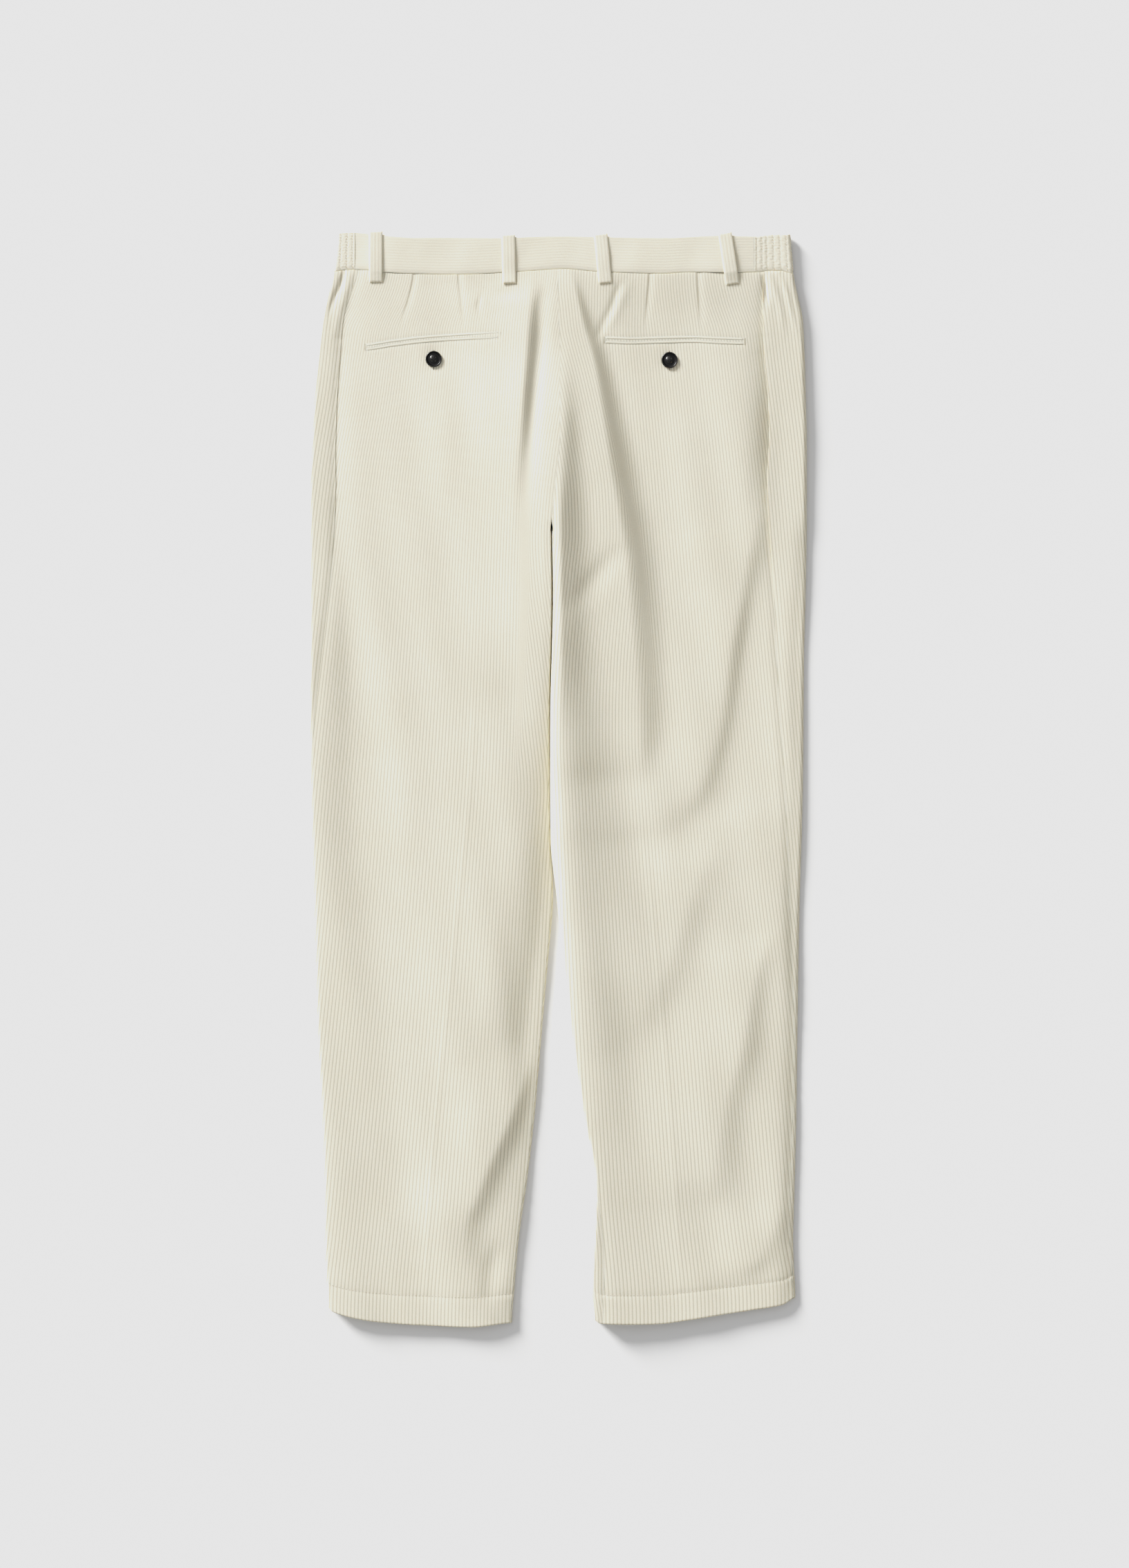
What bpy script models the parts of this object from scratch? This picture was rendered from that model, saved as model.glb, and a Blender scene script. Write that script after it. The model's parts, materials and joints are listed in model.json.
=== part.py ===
"""Cream corduroy chinos with an elasticated waist, laid flat on their front with the back upwards.

The garment lies on the XY plane: +X to the right, +Y towards the waist, +Z up, the origin on the surface
below its middle. Each leg is a flat tube. Its front panel lies on the surface and wraps up round both
edges, and its back panel closes the tube on top. The tables are in millimetres, a row for each section
across the garment or each station along a fold.
"""

import math

import bpy
import numpy as np
from mathutils import Vector
from mathutils.bvhtree import BVHTree

MM = 0.001

# Cloth
CLOTH = 1.6  # corduroy wall
HEM_WALL = 2.6  # corduroy turned up inside the hem
BAND_CLOTH = 2.2  # waistband: corduroy, interfacing and facing
LOOP_CLOTH = 1.5
WELT_CLOTH = 1.4  # a jet is the cloth folded double and pressed
SEAM_GAP = 0.3
EDGE_RADIUS = 4.2  # how far a side edge rolls over
SEAM_SINK = 0.6  # a seam lies this much below the cloth beside it
SEAM_REACH = 4.0

# Heights above the surface
BAND_UNDERSIDE = 1.9  # the front waistband rides on its belt loops
BAND_RAMP_Y = 452.0  # below this the front panels lie on the surface
BAND_RAMP = 22.0
BAND_TOP = 10.2
LOWEST_SEAT = 5.7  # least height of the back panels over the two laps of the fly
LOWEST_LEG = 3.9
LOWEST_BLEND = 40.0  # length over which one gives way to the other at the crotch

WAIST_Y = 490.0  # nominal waist seam
HEM_Y = -529.0
CROTCH_Y = 244.0
CROTCH_BLEND = 16.0
WAIST_FOLLOW_Y = 430.0  # rows above this bend towards the waist seam
HEM_FOLLOW_Y = -440.0  # rows below this bend towards the hem
HEM_TURN_Y = -497.0
HEM_STEP = 4.0
FLOOR_SOFTNESS = 0.8
SHARP_ANGLE = 50.0

# Fly: the left front laps over the right
FLY_LAP = 8.0
FLY_END_Y = 322.0
LAP_STEP = 12.0
LAP_RAMP = 8.0
LAP_RISE = 20.0

SECTIONS = {
    "columns": (
        "y", "left_outer", "left_wrap", "left_inner", "right_inner", "right_wrap", "right_outer",
    ),
    "rows": (
        (529, -213.7, 25.5, 0.7, 0.7, 30.0, 225.0),
        (491, -218.0, 25.5, 0.7, 0.7, 30.0, 228.0),
        (470, -223.0, 23.5, 0.0, 0.0, 34.0, 232.0),
        (445, -229.0, 21.5, 1.0, 1.0, 39.0, 237.0),
        (410, -233.5, 23.0, 2.0, 2.0, 40.0, 239.0),
        (370, -237.0, 23.5, 2.0, 2.0, 37.0, 240.0),
        (330, -239.0, 24.0, 2.0, 2.0, 37.0, 241.0),
        (285, -241.0, 26.0, -2.5, -2.5, 39.0, 241.0),
        (240, -241.0, 24.5, -6.8, -5.2, 36.5, 241.0),
        (180, -241.0, 19.5, -6.2, -4.4, 31.0, 240.0),
        (120, -241.0, 12.5, -7.2, -5.4, 27.0, 238.5),
        (60, -241.0, 6.0, -8.5, -6.6, 23.0, 238.0),
        (0, -240.5, 2.0, -9.8, -5.2, 18.5, 237.5),
        (-60, -239.0, 1.5, -8.1, -6.3, 14.0, 236.0),
        (-110, -237.5, 1.5, -4.6, -1.8, 11.0, 234.5),
        (-180, -235.5, 1.5, -10.0, 5.5, 6.5, 233.0),
        (-250, -233.5, 1.5, -16.0, 13.0, 3.5, 232.0),
        (-330, -229.5, 1.5, -23.0, 25.0, 4.0, 231.0),
        (-390, -227.5, 1.5, -30.0, 35.5, 4.5, 229.5),
        (-450, -227.0, 1.5, -38.5, 33.5, 3.5, 228.0),
        (-500, -225.5, 1.5, -42.5, 31.5, 2.0, 229.0),
        (-529, -224.0, 1.5, -44.5, 33.5, 2.0, 230.0),
    ),
}

# How far each inseam lies from the inner edge, on top: near the right hem the front shows beside it
INSEAM_WRAP = {
    "left": ((491, 1.5), (-529, 1.5)),
    "right": ((491, 1.5), (-375, 1.5), (-400, 3.0), (-430, 8.0), (-465, 12.0), (-500, 13.0), (-529, 10.0)),
}

# Height of the back over the surface where it lies quietly
QUIET_HEIGHT = (
    (491, 8.8), (450, 8.5), (330, 8.4), (250, 8.0), (150, 7.2), (0, 6.6), (-300, 6.6), (-450, 7.2),
    (-529, 7.8),
)

WAIST_SEAM = (
    (-218, 490.5), (-201, 492.3), (-184, 491.8), (-166, 489.3), (-137, 488.0), (-100, 487.2), (-58, 488.7),
    (-25, 490.8), (7, 492.6), (37, 490.1), (62, 489.0), (101, 488.1), (129, 489.4), (160, 489.1),
    (188, 489.4),
    (206, 491.2), (216, 491.2), (228, 488.4),
)
WAIST_TOP = (
    (-214, 529.0), (-196, 529.0), (-182, 527.5), (-138, 523.5), (-54, 523.5), (0, 525.0), (60, 524.0),
    (105, 523.5), (156, 525.5), (190, 525.0), (208, 527.0), (226, 527.0),
)
HEM_LINE = {
    "left": ((-226, -508.0), (-216, -515.0), (-169, -525.0), (-126, -528.0), (-84, -529.5), (-44, -526.0)),
    "right": (
        (32, -520.0), (42, -525.5), (78, -526.5), (100, -526.0), (123, -523.0), (155, -518.0), (188, -513.0),
        (218, -508.0), (230, -502.0),
    ),
}

# Folds of the back. Each station is (y, x, height, reach to the left, reach to the right)
FOLDS = {
    "left_seat_ridge": (
        (500, -42, 0.0, 16, 8), (450, -40, 1.6, 20, 8), (400, -42, 2.6, 25, 8), (340, -45, 3.2, 28, 9),
        (270, -48, 2.4, 30, 12), (180, -55, 0.8, 34, 20), (110, -60, 0.0, 34, 24),
    ),
    "left_seat_valley": (
        (495, -17, 0.0, 6, 6), (455, -19, -1.6, 6, 7), (400, -26, -2.4, 6, 8), (355, -31, -2.6, 6, 8),
        (310, -31, -2.0, 7, 9), (265, -28, -0.8, 8, 9), (230, -26, 0.0, 8, 9),
    ),
    "centre_valley": (
        (480, 22, 0.0, 7, 6), (430, 20, -1.2, 7, 7), (380, 17, -2.4, 7, 7), (310, 14, -2.9, 6, 7),
        (280, 14, -2.6, 6, 8), (235, 8, -2.4, 4, 8), (180, 8, -2.2, 4, 9), (110, 14, -1.6, 8, 12),
        (50, 26, -1.2, 12, 14), (-60, 36, -0.6, 16, 18), (-120, 40, 0.0, 16, 18),
    ),
    "main_fold": (
        (500, 18, 0.5, 8, 7), (470, 22, 3.0, 9, 7), (430, 28, 6.0, 11, 7), (385, 37, 7.8, 14, 8),
        (330, 48, 8.8, 18, 9), (280, 58, 9.0, 20, 10), (235, 66, 8.4, 22, 11), (190, 69, 7.2, 22, 12),
        (140, 72, 5.6, 22, 14), (90, 76, 3.6, 22, 16), (45, 80, 1.2, 22, 16), (10, 82, 0.0, 22, 16),
    ),
    "seat_crease": (
        (165, 20, 0.0, 5, 6), (180, 26, -1.6, 5, 6), (196, 37, -2.6, 5, 6), (208, 48, -2.2, 6, 6),
        (224, 56, 0.0, 6, 6),
    ),
    "right_knee_wave": (
        (270, 196, 0.0, 22, 12), (180, 184, 1.6, 26, 14), (60, 158, 2.4, 30, 18), (10, 138, 2.6, 30, 24),
        (-25, 106, 2.0, 34, 28), (-50, 80, 0.0, 34, 30),
    ),
    "right_shin_wave": (
        (-40, 160, 0.0, 30, 20), (-75, 144, 2.0, 34, 22), (-125, 129, 3.0, 38, 24), (-180, 98, 3.0, 40, 30),
        (-205, 66, 2.0, 40, 34), (-225, 40, 0.0, 40, 34),
    ),
    "right_calf_wave": (
        (-130, 214, 0.0, 22, 12), (-185, 196, 2.4, 26, 16), (-225, 186, 3.4, 30, 17),
        (-260, 172, 3.6, 34, 20),
        (-305, 158, 3.4, 36, 22), (-345, 144, 2.4, 38, 26), (-400, 122, 0.0, 38, 28),
    ),
    "right_hem_wave": (
        (-400, 214, 0.0, 22, 12), (-440, 200, 1.8, 24, 14), (-470, 182, 1.8, 26, 16),
        (-500, 160, 0.0, 26, 16),
    ),
    "left_thigh_valley": (
        (270, -214, -0.6, 8, 14), (180, -207, -1.4, 12, 18), (60, -198, -1.6, 16, 20),
        (-60, -188, -1.4, 18, 22),
        (-150, -180, -1.0, 20, 24), (-220, -172, 0.0, 20, 24),
    ),
    "left_calf_wave": (
        (-260, -28, 0.0, 30, 12), (-310, -46, 2.0, 34, 14), (-355, -66, 3.6, 36, 17),
        (-395, -86, 4.0, 38, 18),
        (-425, -102, 3.2, 38, 20), (-460, -120, 0.8, 38, 22), (-490, -130, 0.0, 38, 22),
    ),
    "left_hem_dent": (
        (-440, -56, 0.0, 8, 10), (-475, -64, -1.3, 9, 10), (-495, -66, -1.0, 9, 9), (-515, -66, 0.0, 9, 9),
    ),
}

# The side pockets open on the side seams, where the back dips under the edge of the front
POCKET_MOUTH = {
    "left": ((470, 0.0), (440, 1.4), (380, 2.2), (300, 2.2), (255, 1.0), (200, 0.3), (150, 0.0)),
    "right": ((480, 0.4), (440, 1.2), (400, 2.2), (330, 2.6), (290, 1.8), (250, 0.8), (200, 0.3), (150, 0.0)),
}
MOUTH_REACH = {"left": 9.0, "right": 13.0}
LIP_REACH = 7.0
LIP_SHARE = 0.35

# Rows of both panels of a leg, from the waist seam to the hem
ROW_Y = (
    490, 474, 452, 428, 402, 372, 334, 322, 302, 272, 252, 244, 236, 214, 186, 150, 108, 62, 14, -36, -88, -140, -190,
    -240, -290, -340, -390, -440, -480, -497, -501, -529,
)

# Columns of a panel's loft
EDGE_STRIP = 3.5  # the first column inside a seam
LEAST_COLUMN = 1.5
FOLD_GUIDES = {
    "left": (("left_seat_ridge", 0.0), ("left_seat_valley", 0.0)),
    "right": (("main_fold", 1.3), ("main_fold", 0.0), ("centre_valley", 0.0)),
}
GUIDE_COLUMNS = {"left": (7, 3, 2), "right": (6, 2, 3, 2)}
INNER_COLUMNS = 5
FLAT_COLUMNS = 1
OUTER_COLUMNS = 5
WRAP_COLUMNS = 3
FLAT_STEP = 2.4

# Pieces on the back: (x, y) of each end, its lean being x at the top less x at the foot
LOOP_WIDTH = 13.0
LOOP_DROP = 11.0  # a loop's foot below the waist seam
LOOP_OVER_TOP = 2.5  # its fold stands this much over the band's upper edge
LOOP_ARCH = 2.0
LOOP_ROWS = 12
LOOP_CLEARING = 3.0  # it clears the highest cloth within this distance along it
BACK_LOOPS = {
    "belt_loop_back_outer_left": (-176.0, 0.0),
    "belt_loop_back_inner_left": (-47.5, -1.0),
    "belt_loop_back_inner_right": (43.5, -4.5),
    "belt_loop_back_outer_right": (165.0, -7.5),
}
FRONT_LOOPS = {"belt_loop_front_left": -96.0, "belt_loop_front_right": 96.0}

WELT_HEIGHT = 3.4
WELT_SLIT = 0.6
WELT_COLUMNS = 12
# The mouth of each back pocket, from its left end to its right end
POCKET_LINES = {
    "left": ((-186, 417.5), (-160, 421.0), (-130, 424.5), (-100, 426.5), (-72, 427.5), (-56, 428.0)),
    "right": ((45, 424.5), (70, 423.5), (100, 424.5), (130, 425.0), (160, 423.5), (180, 423.0)),
}

BUTTON_RADIUS = 7.8
BUTTON_HEIGHT = 2.8
BUTTON_RIM = 1.5
BUTTON_DISH = 0.8
THREAD_HOLE_RADIUS = 0.85
THREAD_HOLE_OFFSET = 1.7
BUTTON_STEPS = 28
BUTTON_SLOPE = 0.9  # width of the slope from the dish up to the rim
BUTTON_FOOT = 0.8  # how far its foot is smaller than its edge
BUTTON_SOFTENING = 0.2
HOLE_SIDES = 12
BUTTONS = {"pocket_button_left": (-120.0, 405.5), "pocket_button_right": (108.0, 405.0)}

# The shirred sides of the waistband start on top, run round the side and end underneath
ELASTIC_START = {"left": -196.0, "right": 189.5}
ELASTIC_END = {"left": -150.0, "right": 150.0}
ELASTIC_RIB = 0.8  # how far the cloth puffs out between two rows of shirring
# Rows of shirring on top, by distance from the start, and the pitch of those that follow
SHIRRING = {"left": (2.6, 8.4), "right": (2.8, 8.1, 12.8)}
SHIRRING_PITCH = 6.6
BAND_ROWS = (0.0, 0.1, 0.5, 0.9, 1.0)  # shares of the band's height
BAND_EDGE_SINK = 0.6
FRONT_BAND_COLUMNS = 6


# ---------------------------------------------------------------- curves through the tables


def through(stations, at):
    """A smooth curve through (place, value) stations, held level past its ends. It never overshoots."""
    order = sorted(stations)
    place = np.array([s[0] for s in order], float)
    value = np.array([s[1] for s in order], float)
    step = np.diff(place)
    slope = np.diff(value) / step
    tangent = np.zeros(len(place))
    for i in range(1, len(place) - 1):
        if slope[i - 1] * slope[i] > 0:
            before = 2 * step[i] + step[i - 1]
            after = step[i] + 2 * step[i - 1]
            tangent[i] = (before + after) / (before / slope[i - 1] + after / slope[i])
    at = np.clip(np.asarray(at, float), place[0], place[-1])
    i = np.clip(np.searchsorted(place, at, side="right") - 1, 0, len(step) - 1)
    t = (at - place[i]) / step[i]
    return (
        (2 * t**3 - 3 * t**2 + 1) * value[i]
        + (t**3 - 2 * t**2 + t) * step[i] * tangent[i]
        + (3 * t**2 - 2 * t**3) * value[i + 1]
        + (t**3 - t**2) * step[i] * tangent[i + 1]
    )


def ease(t):
    """0 up to t = 0, 1 from t = 1, smooth between."""
    t = np.clip(t, 0.0, 1.0)
    return t * t * (3 - 2 * t)


def section(name, y):
    """A column of SECTIONS at height y."""
    column = SECTIONS["columns"].index(name)
    return through([(row[0], row[column]) for row in SECTIONS["rows"]], y)


def fold_column(name, column, y):
    """A column of one fold at height y: 1 crest, 2 height, 3 and 4 reach to the left and right."""
    return through([(station[0], station[column]) for station in FOLDS[name]], y)


def fold_height(x, y):
    """The folds' height at points of the back."""
    total = np.zeros(np.broadcast(x, y).shape)
    for name, stations in FOLDS.items():
        ys = [station[0] for station in stations]
        inside = (y >= min(ys)) & (y <= max(ys))
        crest, height, left, right = (fold_column(name, column, y) for column in (1, 2, 3, 4))
        away = x - crest
        reach = np.where(away < 0, left, right)
        total = total + np.where(inside, height * np.exp(-((away / reach) ** 2)), 0.0)
    return total


def floor_at(height, lowest):
    """Height kept above lowest, with a soft corner."""
    return lowest + FLOOR_SOFTNESS * np.logaddexp(0.0, (height - lowest) / FLOOR_SOFTNESS)


def quiet_top(x, y):
    """Height of the back's outside, folds included, before seams and edges."""
    seat = ease((y - CROTCH_Y) / LOWEST_BLEND + 0.5)
    lowest = LOWEST_LEG + (LOWEST_SEAT - LOWEST_LEG) * seat
    return floor_at(through(QUIET_HEIGHT, y) + fold_height(x, y), lowest)


def wall_at(y):
    """Thickness of the cloth, doubled where the hem is turned up inside."""
    return CLOTH + (HEM_WALL - CLOTH) * ease((HEM_TURN_Y - y) / HEM_STEP)


# ---------------------------------------------------------------- one leg's section


class Leg:
    """The section across one leg. Its outward direction is -1 on the left and +1 on the right."""

    def __init__(self, side):
        self.side = side
        self.out = -1.0 if side == "left" else 1.0

    def outer(self, y):
        return section(f"{self.side}_outer", y)

    def inner(self, y):
        return section(f"{self.side}_inner", y)

    def side_seam(self, y):
        return self.outer(y) - self.out * section(f"{self.side}_wrap", y)

    def split(self, y):
        """0 at the seat, where the panels meet at the centre seam, and 1 where the leg has an inner edge."""
        return ease((CROTCH_Y + CROTCH_BLEND / 2 - y) / CROTCH_BLEND)

    def inseam(self, y):
        return self.inner(y) + self.out * through(INSEAM_WRAP[self.side], y) * self.split(y)

    def underside(self, x, y):
        """Height of the front panel's outside where it lies on the surface, lifted over loops and fly."""
        height = BAND_UNDERSIDE * ease((y - BAND_RAMP_Y) / BAND_RAMP) + np.zeros(np.shape(x))
        if self.side == "right":
            lap = ease((FLY_LAP + LAP_RAMP - (x - self.inner(y))) / LAP_RAMP)
            height = height + (CLOTH + SEAM_GAP) * lap * ease((y - FLY_END_Y) / LAP_RISE + 1)
        return height

    def roll_middle(self, x, y):
        """Height of the middle of an edge's roll, whose top starts at x."""
        return (quiet_top(x, y) + self.underside(x, y)) / 2

    def on_top(self, x, y, lift):
        """Height of the outside on top, with lift added, sunk at the seams and rolled at the edges."""
        seams = np.exp(-((x - self.side_seam(y)) / SEAM_REACH) ** 2)
        seams = seams + np.exp(-((x - self.inseam(y)) / SEAM_REACH) ** 2)
        height = quiet_top(x, y) + lift - SEAM_SINK * seams
        for edge, turn, share in ((self.outer(y), -self.out, 1.0), (self.inner(y), self.out, self.split(y))):
            depth = np.clip(turn * (x - edge) / EDGE_RADIUS, 0, 1)
            arc = 1 - share * (1 - np.sqrt(1 - (1 - depth) ** 2))
            middle = self.roll_middle(edge + turn * EDGE_RADIUS, y)
            height = middle + (height - middle) * arc
        return height

    def back_top(self, x, y):
        """Height of the back panel's outside, which dips under the pocket's edge."""
        near = np.exp(-((x - self.side_seam(y)) / MOUTH_REACH[self.side]) ** 2)
        return self.on_top(x, y, -through(POCKET_MOUTH[self.side], y) * near)

    def wrap_top(self, x, y):
        """Height of the front panel's outside where it has come up over the hip."""
        near = np.exp(-((x - self.side_seam(y)) / LIP_REACH) ** 2)
        return self.on_top(x, y, LIP_SHARE * through(POCKET_MOUTH[self.side], y) * near)

    def waist_line(self, x, under):
        """Height of the waist seam. Underneath, it runs straight from the side to the centre."""
        roll_x = self.outer(WAIST_Y) - self.out * EDGE_RADIUS
        share = np.clip(x / roll_x, 0, 1)
        straight = (1 - share) * through(WAIST_SEAM, 0.0) + share * through(WAIST_SEAM, roll_x)
        inside = under & (self.out * (roll_x - x) > 0)
        return np.where(inside, straight, through(WAIST_SEAM, x))

    def place(self, x, y, under):
        """The real y of a point of a nominal row, which follows the waist seam and the hem."""
        waist = self.waist_line(x, under) - SEAM_GAP / 2 - WAIST_Y
        hem = through(HEM_LINE[self.side], x) - HEM_Y
        near_waist = ease((y - WAIST_FOLLOW_Y) / (WAIST_Y - WAIST_FOLLOW_Y))
        near_hem = ease((HEM_FOLLOW_Y - y) / (HEM_FOLLOW_Y - HEM_Y))
        return y + near_waist * waist + near_hem * hem


def roll_angle(depth):
    """Angle round a roll, from 0 on top, of the place a depth inside its edge."""
    return math.asin(1 - min(max(depth / EDGE_RADIUS, 0.0), 1.0))


def roll_direction(turn, angle, half):
    """Outward direction of an elliptical roll whose edge faces turn (-1 or +1 along X)."""
    across, up = turn * math.sin(angle) / EDGE_RADIUS, math.cos(angle) / half
    length = math.hypot(across, up)
    return across / length, up / length


# ---------------------------------------------------------------- Blender helpers


def clear_scene():
    for old in list(bpy.data.objects):
        bpy.data.objects.remove(old)


def make_collection(name):
    made = bpy.data.collections.new(name)
    bpy.context.scene.collection.children.link(made)
    return made


def make_material(name, colour, roughness):
    material = bpy.data.materials.new(name)
    material.use_nodes = True
    shader = material.node_tree.nodes["Principled BSDF"]
    shader.inputs["Base Color"].default_value = (*colour, 1.0)
    shader.inputs["Roughness"].default_value = roughness
    shader.inputs["Metallic"].default_value = 0.0
    return material


def add_object(name, mesh, material, collection):
    mesh.materials.append(material)
    made = bpy.data.objects.new(name, mesh)
    collection.objects.link(made)
    return made


def add_wall(name, outside, inside, material, collection):
    """A closed wall lofted between two grids of points, rows by columns, in millimetres.

    The faces of outside look outwards, and inside lies behind it.
    """
    rows, columns, _ = outside.shape
    points = np.concatenate([outside.reshape(-1, 3), inside.reshape(-1, 3)]) * MM
    behind = rows * columns
    faces = []
    for r in range(rows - 1):
        for c in range(columns - 1):
            a, b = r * columns + c, (r + 1) * columns + c
            faces.append((a, b, b + 1, a + 1))
            faces.append((behind + a, behind + a + 1, behind + b + 1, behind + b))
    rim = list(range(columns))
    rim += [r * columns + columns - 1 for r in range(1, rows)]
    rim += [(rows - 1) * columns + c for c in range(columns - 2, -1, -1)]
    rim += [r * columns for r in range(rows - 2, 0, -1)]
    for a, b in zip(rim, rim[1:] + rim[:1]):
        faces.append((a, b, behind + b, behind + a))
    mesh = bpy.data.meshes.new(name)
    mesh.from_pydata(points.tolist(), [], faces)
    made = add_object(name, mesh, material, collection)
    mesh.shade_smooth()
    mesh.set_sharp_from_angle(angle=math.radians(SHARP_ANGLE))
    return made


def height_finder(*cloths):
    """A function giving the highest point of these cloths at a place, in millimetres."""
    graph = bpy.context.evaluated_depsgraph_get()
    graph.update()
    trees = [BVHTree.FromObject(cloth, graph) for cloth in cloths]

    def height(x, y):
        hits = [tree.ray_cast(Vector((x * MM, y * MM, 1.0)), Vector((0, 0, -1)))[0] for tree in trees]
        return max((hit.z / MM for hit in hits if hit is not None), default=None)

    return height


# ---------------------------------------------------------------- leg panels


def back_columns(leg, y):
    """Places across a back panel, from the side seam to the centre, closer at edges and main folds."""
    start = leg.side_seam(y) - leg.out * SEAM_GAP / 2
    end = leg.inseam(y) + leg.out * SEAM_GAP / 2
    stops = [start - leg.out * EDGE_STRIP]
    for name, beyond in FOLD_GUIDES[leg.side]:
        stops.append(fold_column(name, 1, y) + beyond * fold_column(name, 4, y))
    stops.append(end + leg.out * EDGE_STRIP)
    counts = GUIDE_COLUMNS[leg.side]
    for i, count in enumerate(counts):
        nearest = stops[i] - leg.out * LEAST_COLUMN * count
        if leg.out * (nearest - stops[i + 1]) < 0:
            stops[i + 1] = nearest
    if leg.out * (stops[-1] - end) < EDGE_STRIP / 2:
        stops = list(np.linspace(stops[0], end + leg.out * EDGE_STRIP, len(stops)))
    places = [start]
    for first, last, count in zip(stops, stops[1:], counts):
        places += list(np.linspace(first, last, count + 1)[:-1])
    return np.array([*places, stops[-1], (stops[-1] + end) / 2, end])


def back_row(leg, y):
    """Points and directions of a back panel's outside across the leg, from the side seam to the centre."""
    x = back_columns(leg, y)
    z = leg.back_top(x, y)
    slope = np.gradient(z, x)
    across, up = -slope, np.ones(len(x))
    length = np.hypot(across, up)
    directions = np.stack([across / length, up / length], axis=1)
    side_angle = roll_angle(leg.out * (leg.outer(y) - leg.side_seam(y)))
    inner_angle = roll_angle(leg.out * (leg.inseam(y) - leg.inner(y))) * float(leg.split(y))
    half = float(leg.roll_middle(leg.outer(y) - leg.out * EDGE_RADIUS, y))
    directions[0] = roll_direction(leg.out, side_angle, half)
    directions[-1] = roll_direction(-leg.out, inner_angle, half)
    return np.stack([x, z], axis=1), directions


def inner_part(leg, y):
    """A front panel from its edge at the centre, or at the inseam on top, to the flat under the leg."""
    split = float(leg.split(y))
    inner = float(leg.inner(y))
    roll_x = inner + leg.out * EDGE_RADIUS
    half = float(quiet_top(roll_x, y)) / 2
    seam_x = float(leg.inseam(y)) - leg.out * SEAM_GAP / 2
    first = roll_angle(leg.out * (seam_x - inner))
    on_flat = leg.out * (seam_x - inner) > EDGE_RADIUS
    lap = FLY_LAP * float(ease((y - FLY_END_Y) / LAP_STEP)) if leg.side == "left" else 0.0
    points, directions = [], []
    for k, angle in enumerate(np.linspace(first, math.pi, INNER_COLUMNS)):
        rolled = (roll_x - leg.out * EDGE_RADIUS * math.sin(angle), half * (1 + math.cos(angle)))
        if k == 0:
            rolled = (seam_x, float(leg.on_top(seam_x, y, 0.0)))
        elif k == 1 and on_flat:
            rolled = (roll_x, float(leg.on_top(roll_x, y, 0.0)))
        flat_x = inner + leg.out * (SEAM_GAP / 2 + k * FLAT_STEP - lap)
        flat = (flat_x, float(leg.underside(flat_x, y)))
        points.append([split * a + (1 - split) * b for a, b in zip(rolled, flat)])
        directions.append(roll_direction(-leg.out, math.pi - split * (math.pi - angle), half))
    return points, directions


def outer_part(leg, y):
    """A front panel from the flat under the leg, round the outer edge, to the side seam on top."""
    roll_x = float(leg.outer(y)) - leg.out * EDGE_RADIUS
    seam_x = float(leg.side_seam(y)) + leg.out * SEAM_GAP / 2
    depth = leg.out * (float(leg.outer(y)) - seam_x)
    base = float(leg.underside(roll_x, y))
    middle = float(leg.roll_middle(roll_x, y))
    over = max(depth - EDGE_RADIUS, 0.0)
    last = roll_angle(depth)
    count = OUTER_COLUMNS if over else OUTER_COLUMNS + WRAP_COLUMNS
    points, directions = [], []
    for angle in np.linspace(math.pi, last, count):
        x = roll_x + leg.out * EDGE_RADIUS * math.sin(angle)
        above = angle < math.pi / 2
        z = float(leg.wrap_top(x, y)) if above else middle + (middle - base) * math.cos(angle)
        points.append((x, z))
        directions.append(roll_direction(leg.out, angle, middle - base))
    for share in np.linspace(0, 1, WRAP_COLUMNS + 1)[1:] if over else ():
        x = roll_x - leg.out * over * share
        points.append((x, float(leg.wrap_top(x, y))))
        directions.append((0.0, 1.0))
    return points, directions


def front_row(leg, y):
    """Points and directions of a front panel's outside, from its inner seam under the leg to the side seam."""
    points, directions = inner_part(leg, y)
    after_points, after_directions = outer_part(leg, y)
    for share in np.linspace(0, 1, FLAT_COLUMNS + 2)[1:-1]:
        x = (1 - share) * points[INNER_COLUMNS - 1][0] + share * after_points[0][0]
        points.append((x, float(leg.underside(x, y))))
        directions.append((0.0, -1.0))
    return np.array(points + after_points), np.array(directions + after_directions)


def add_panel(name, leg, row, backwards, material, collection):
    """A panel lofted through its rows from the waist seam to the hem."""
    outside, inside = [], []
    for y in map(float, ROW_Y):
        points, directions = row(leg, y)
        behind = points - float(wall_at(y)) * directions
        along = leg.place(points[:, 0], y, directions[:, 1] < 0)
        outside.append(np.stack([points[:, 0], along, points[:, 1]], axis=1))
        inside.append(np.stack([behind[:, 0], along, behind[:, 1]], axis=1))
    step = -1 if backwards else 1
    return add_wall(name, np.array(outside)[:, ::step], np.array(inside)[:, ::step], material, collection)


# ---------------------------------------------------------------- waistband


def band_rows(foot, top):
    """Heights of a band's rows, from its foot to its top, and how far each is sunk at the edges."""
    return [(foot + share * (top - foot), BAND_EDGE_SINK * float(share in (0.0, 1.0))) for share in BAND_ROWS]


def seam_points(*legs):
    """The panels' own points along the waist seam on top, which the waistband follows: (x, y)."""
    x = []
    for leg in legs:
        points, directions = front_row(leg, WAIST_Y)
        x += [*points[directions[:, 1] >= 0, 0], *back_columns(leg, WAIST_Y)]
    x = np.sort(x)
    return x, through(WAIST_SEAM, x)


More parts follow.
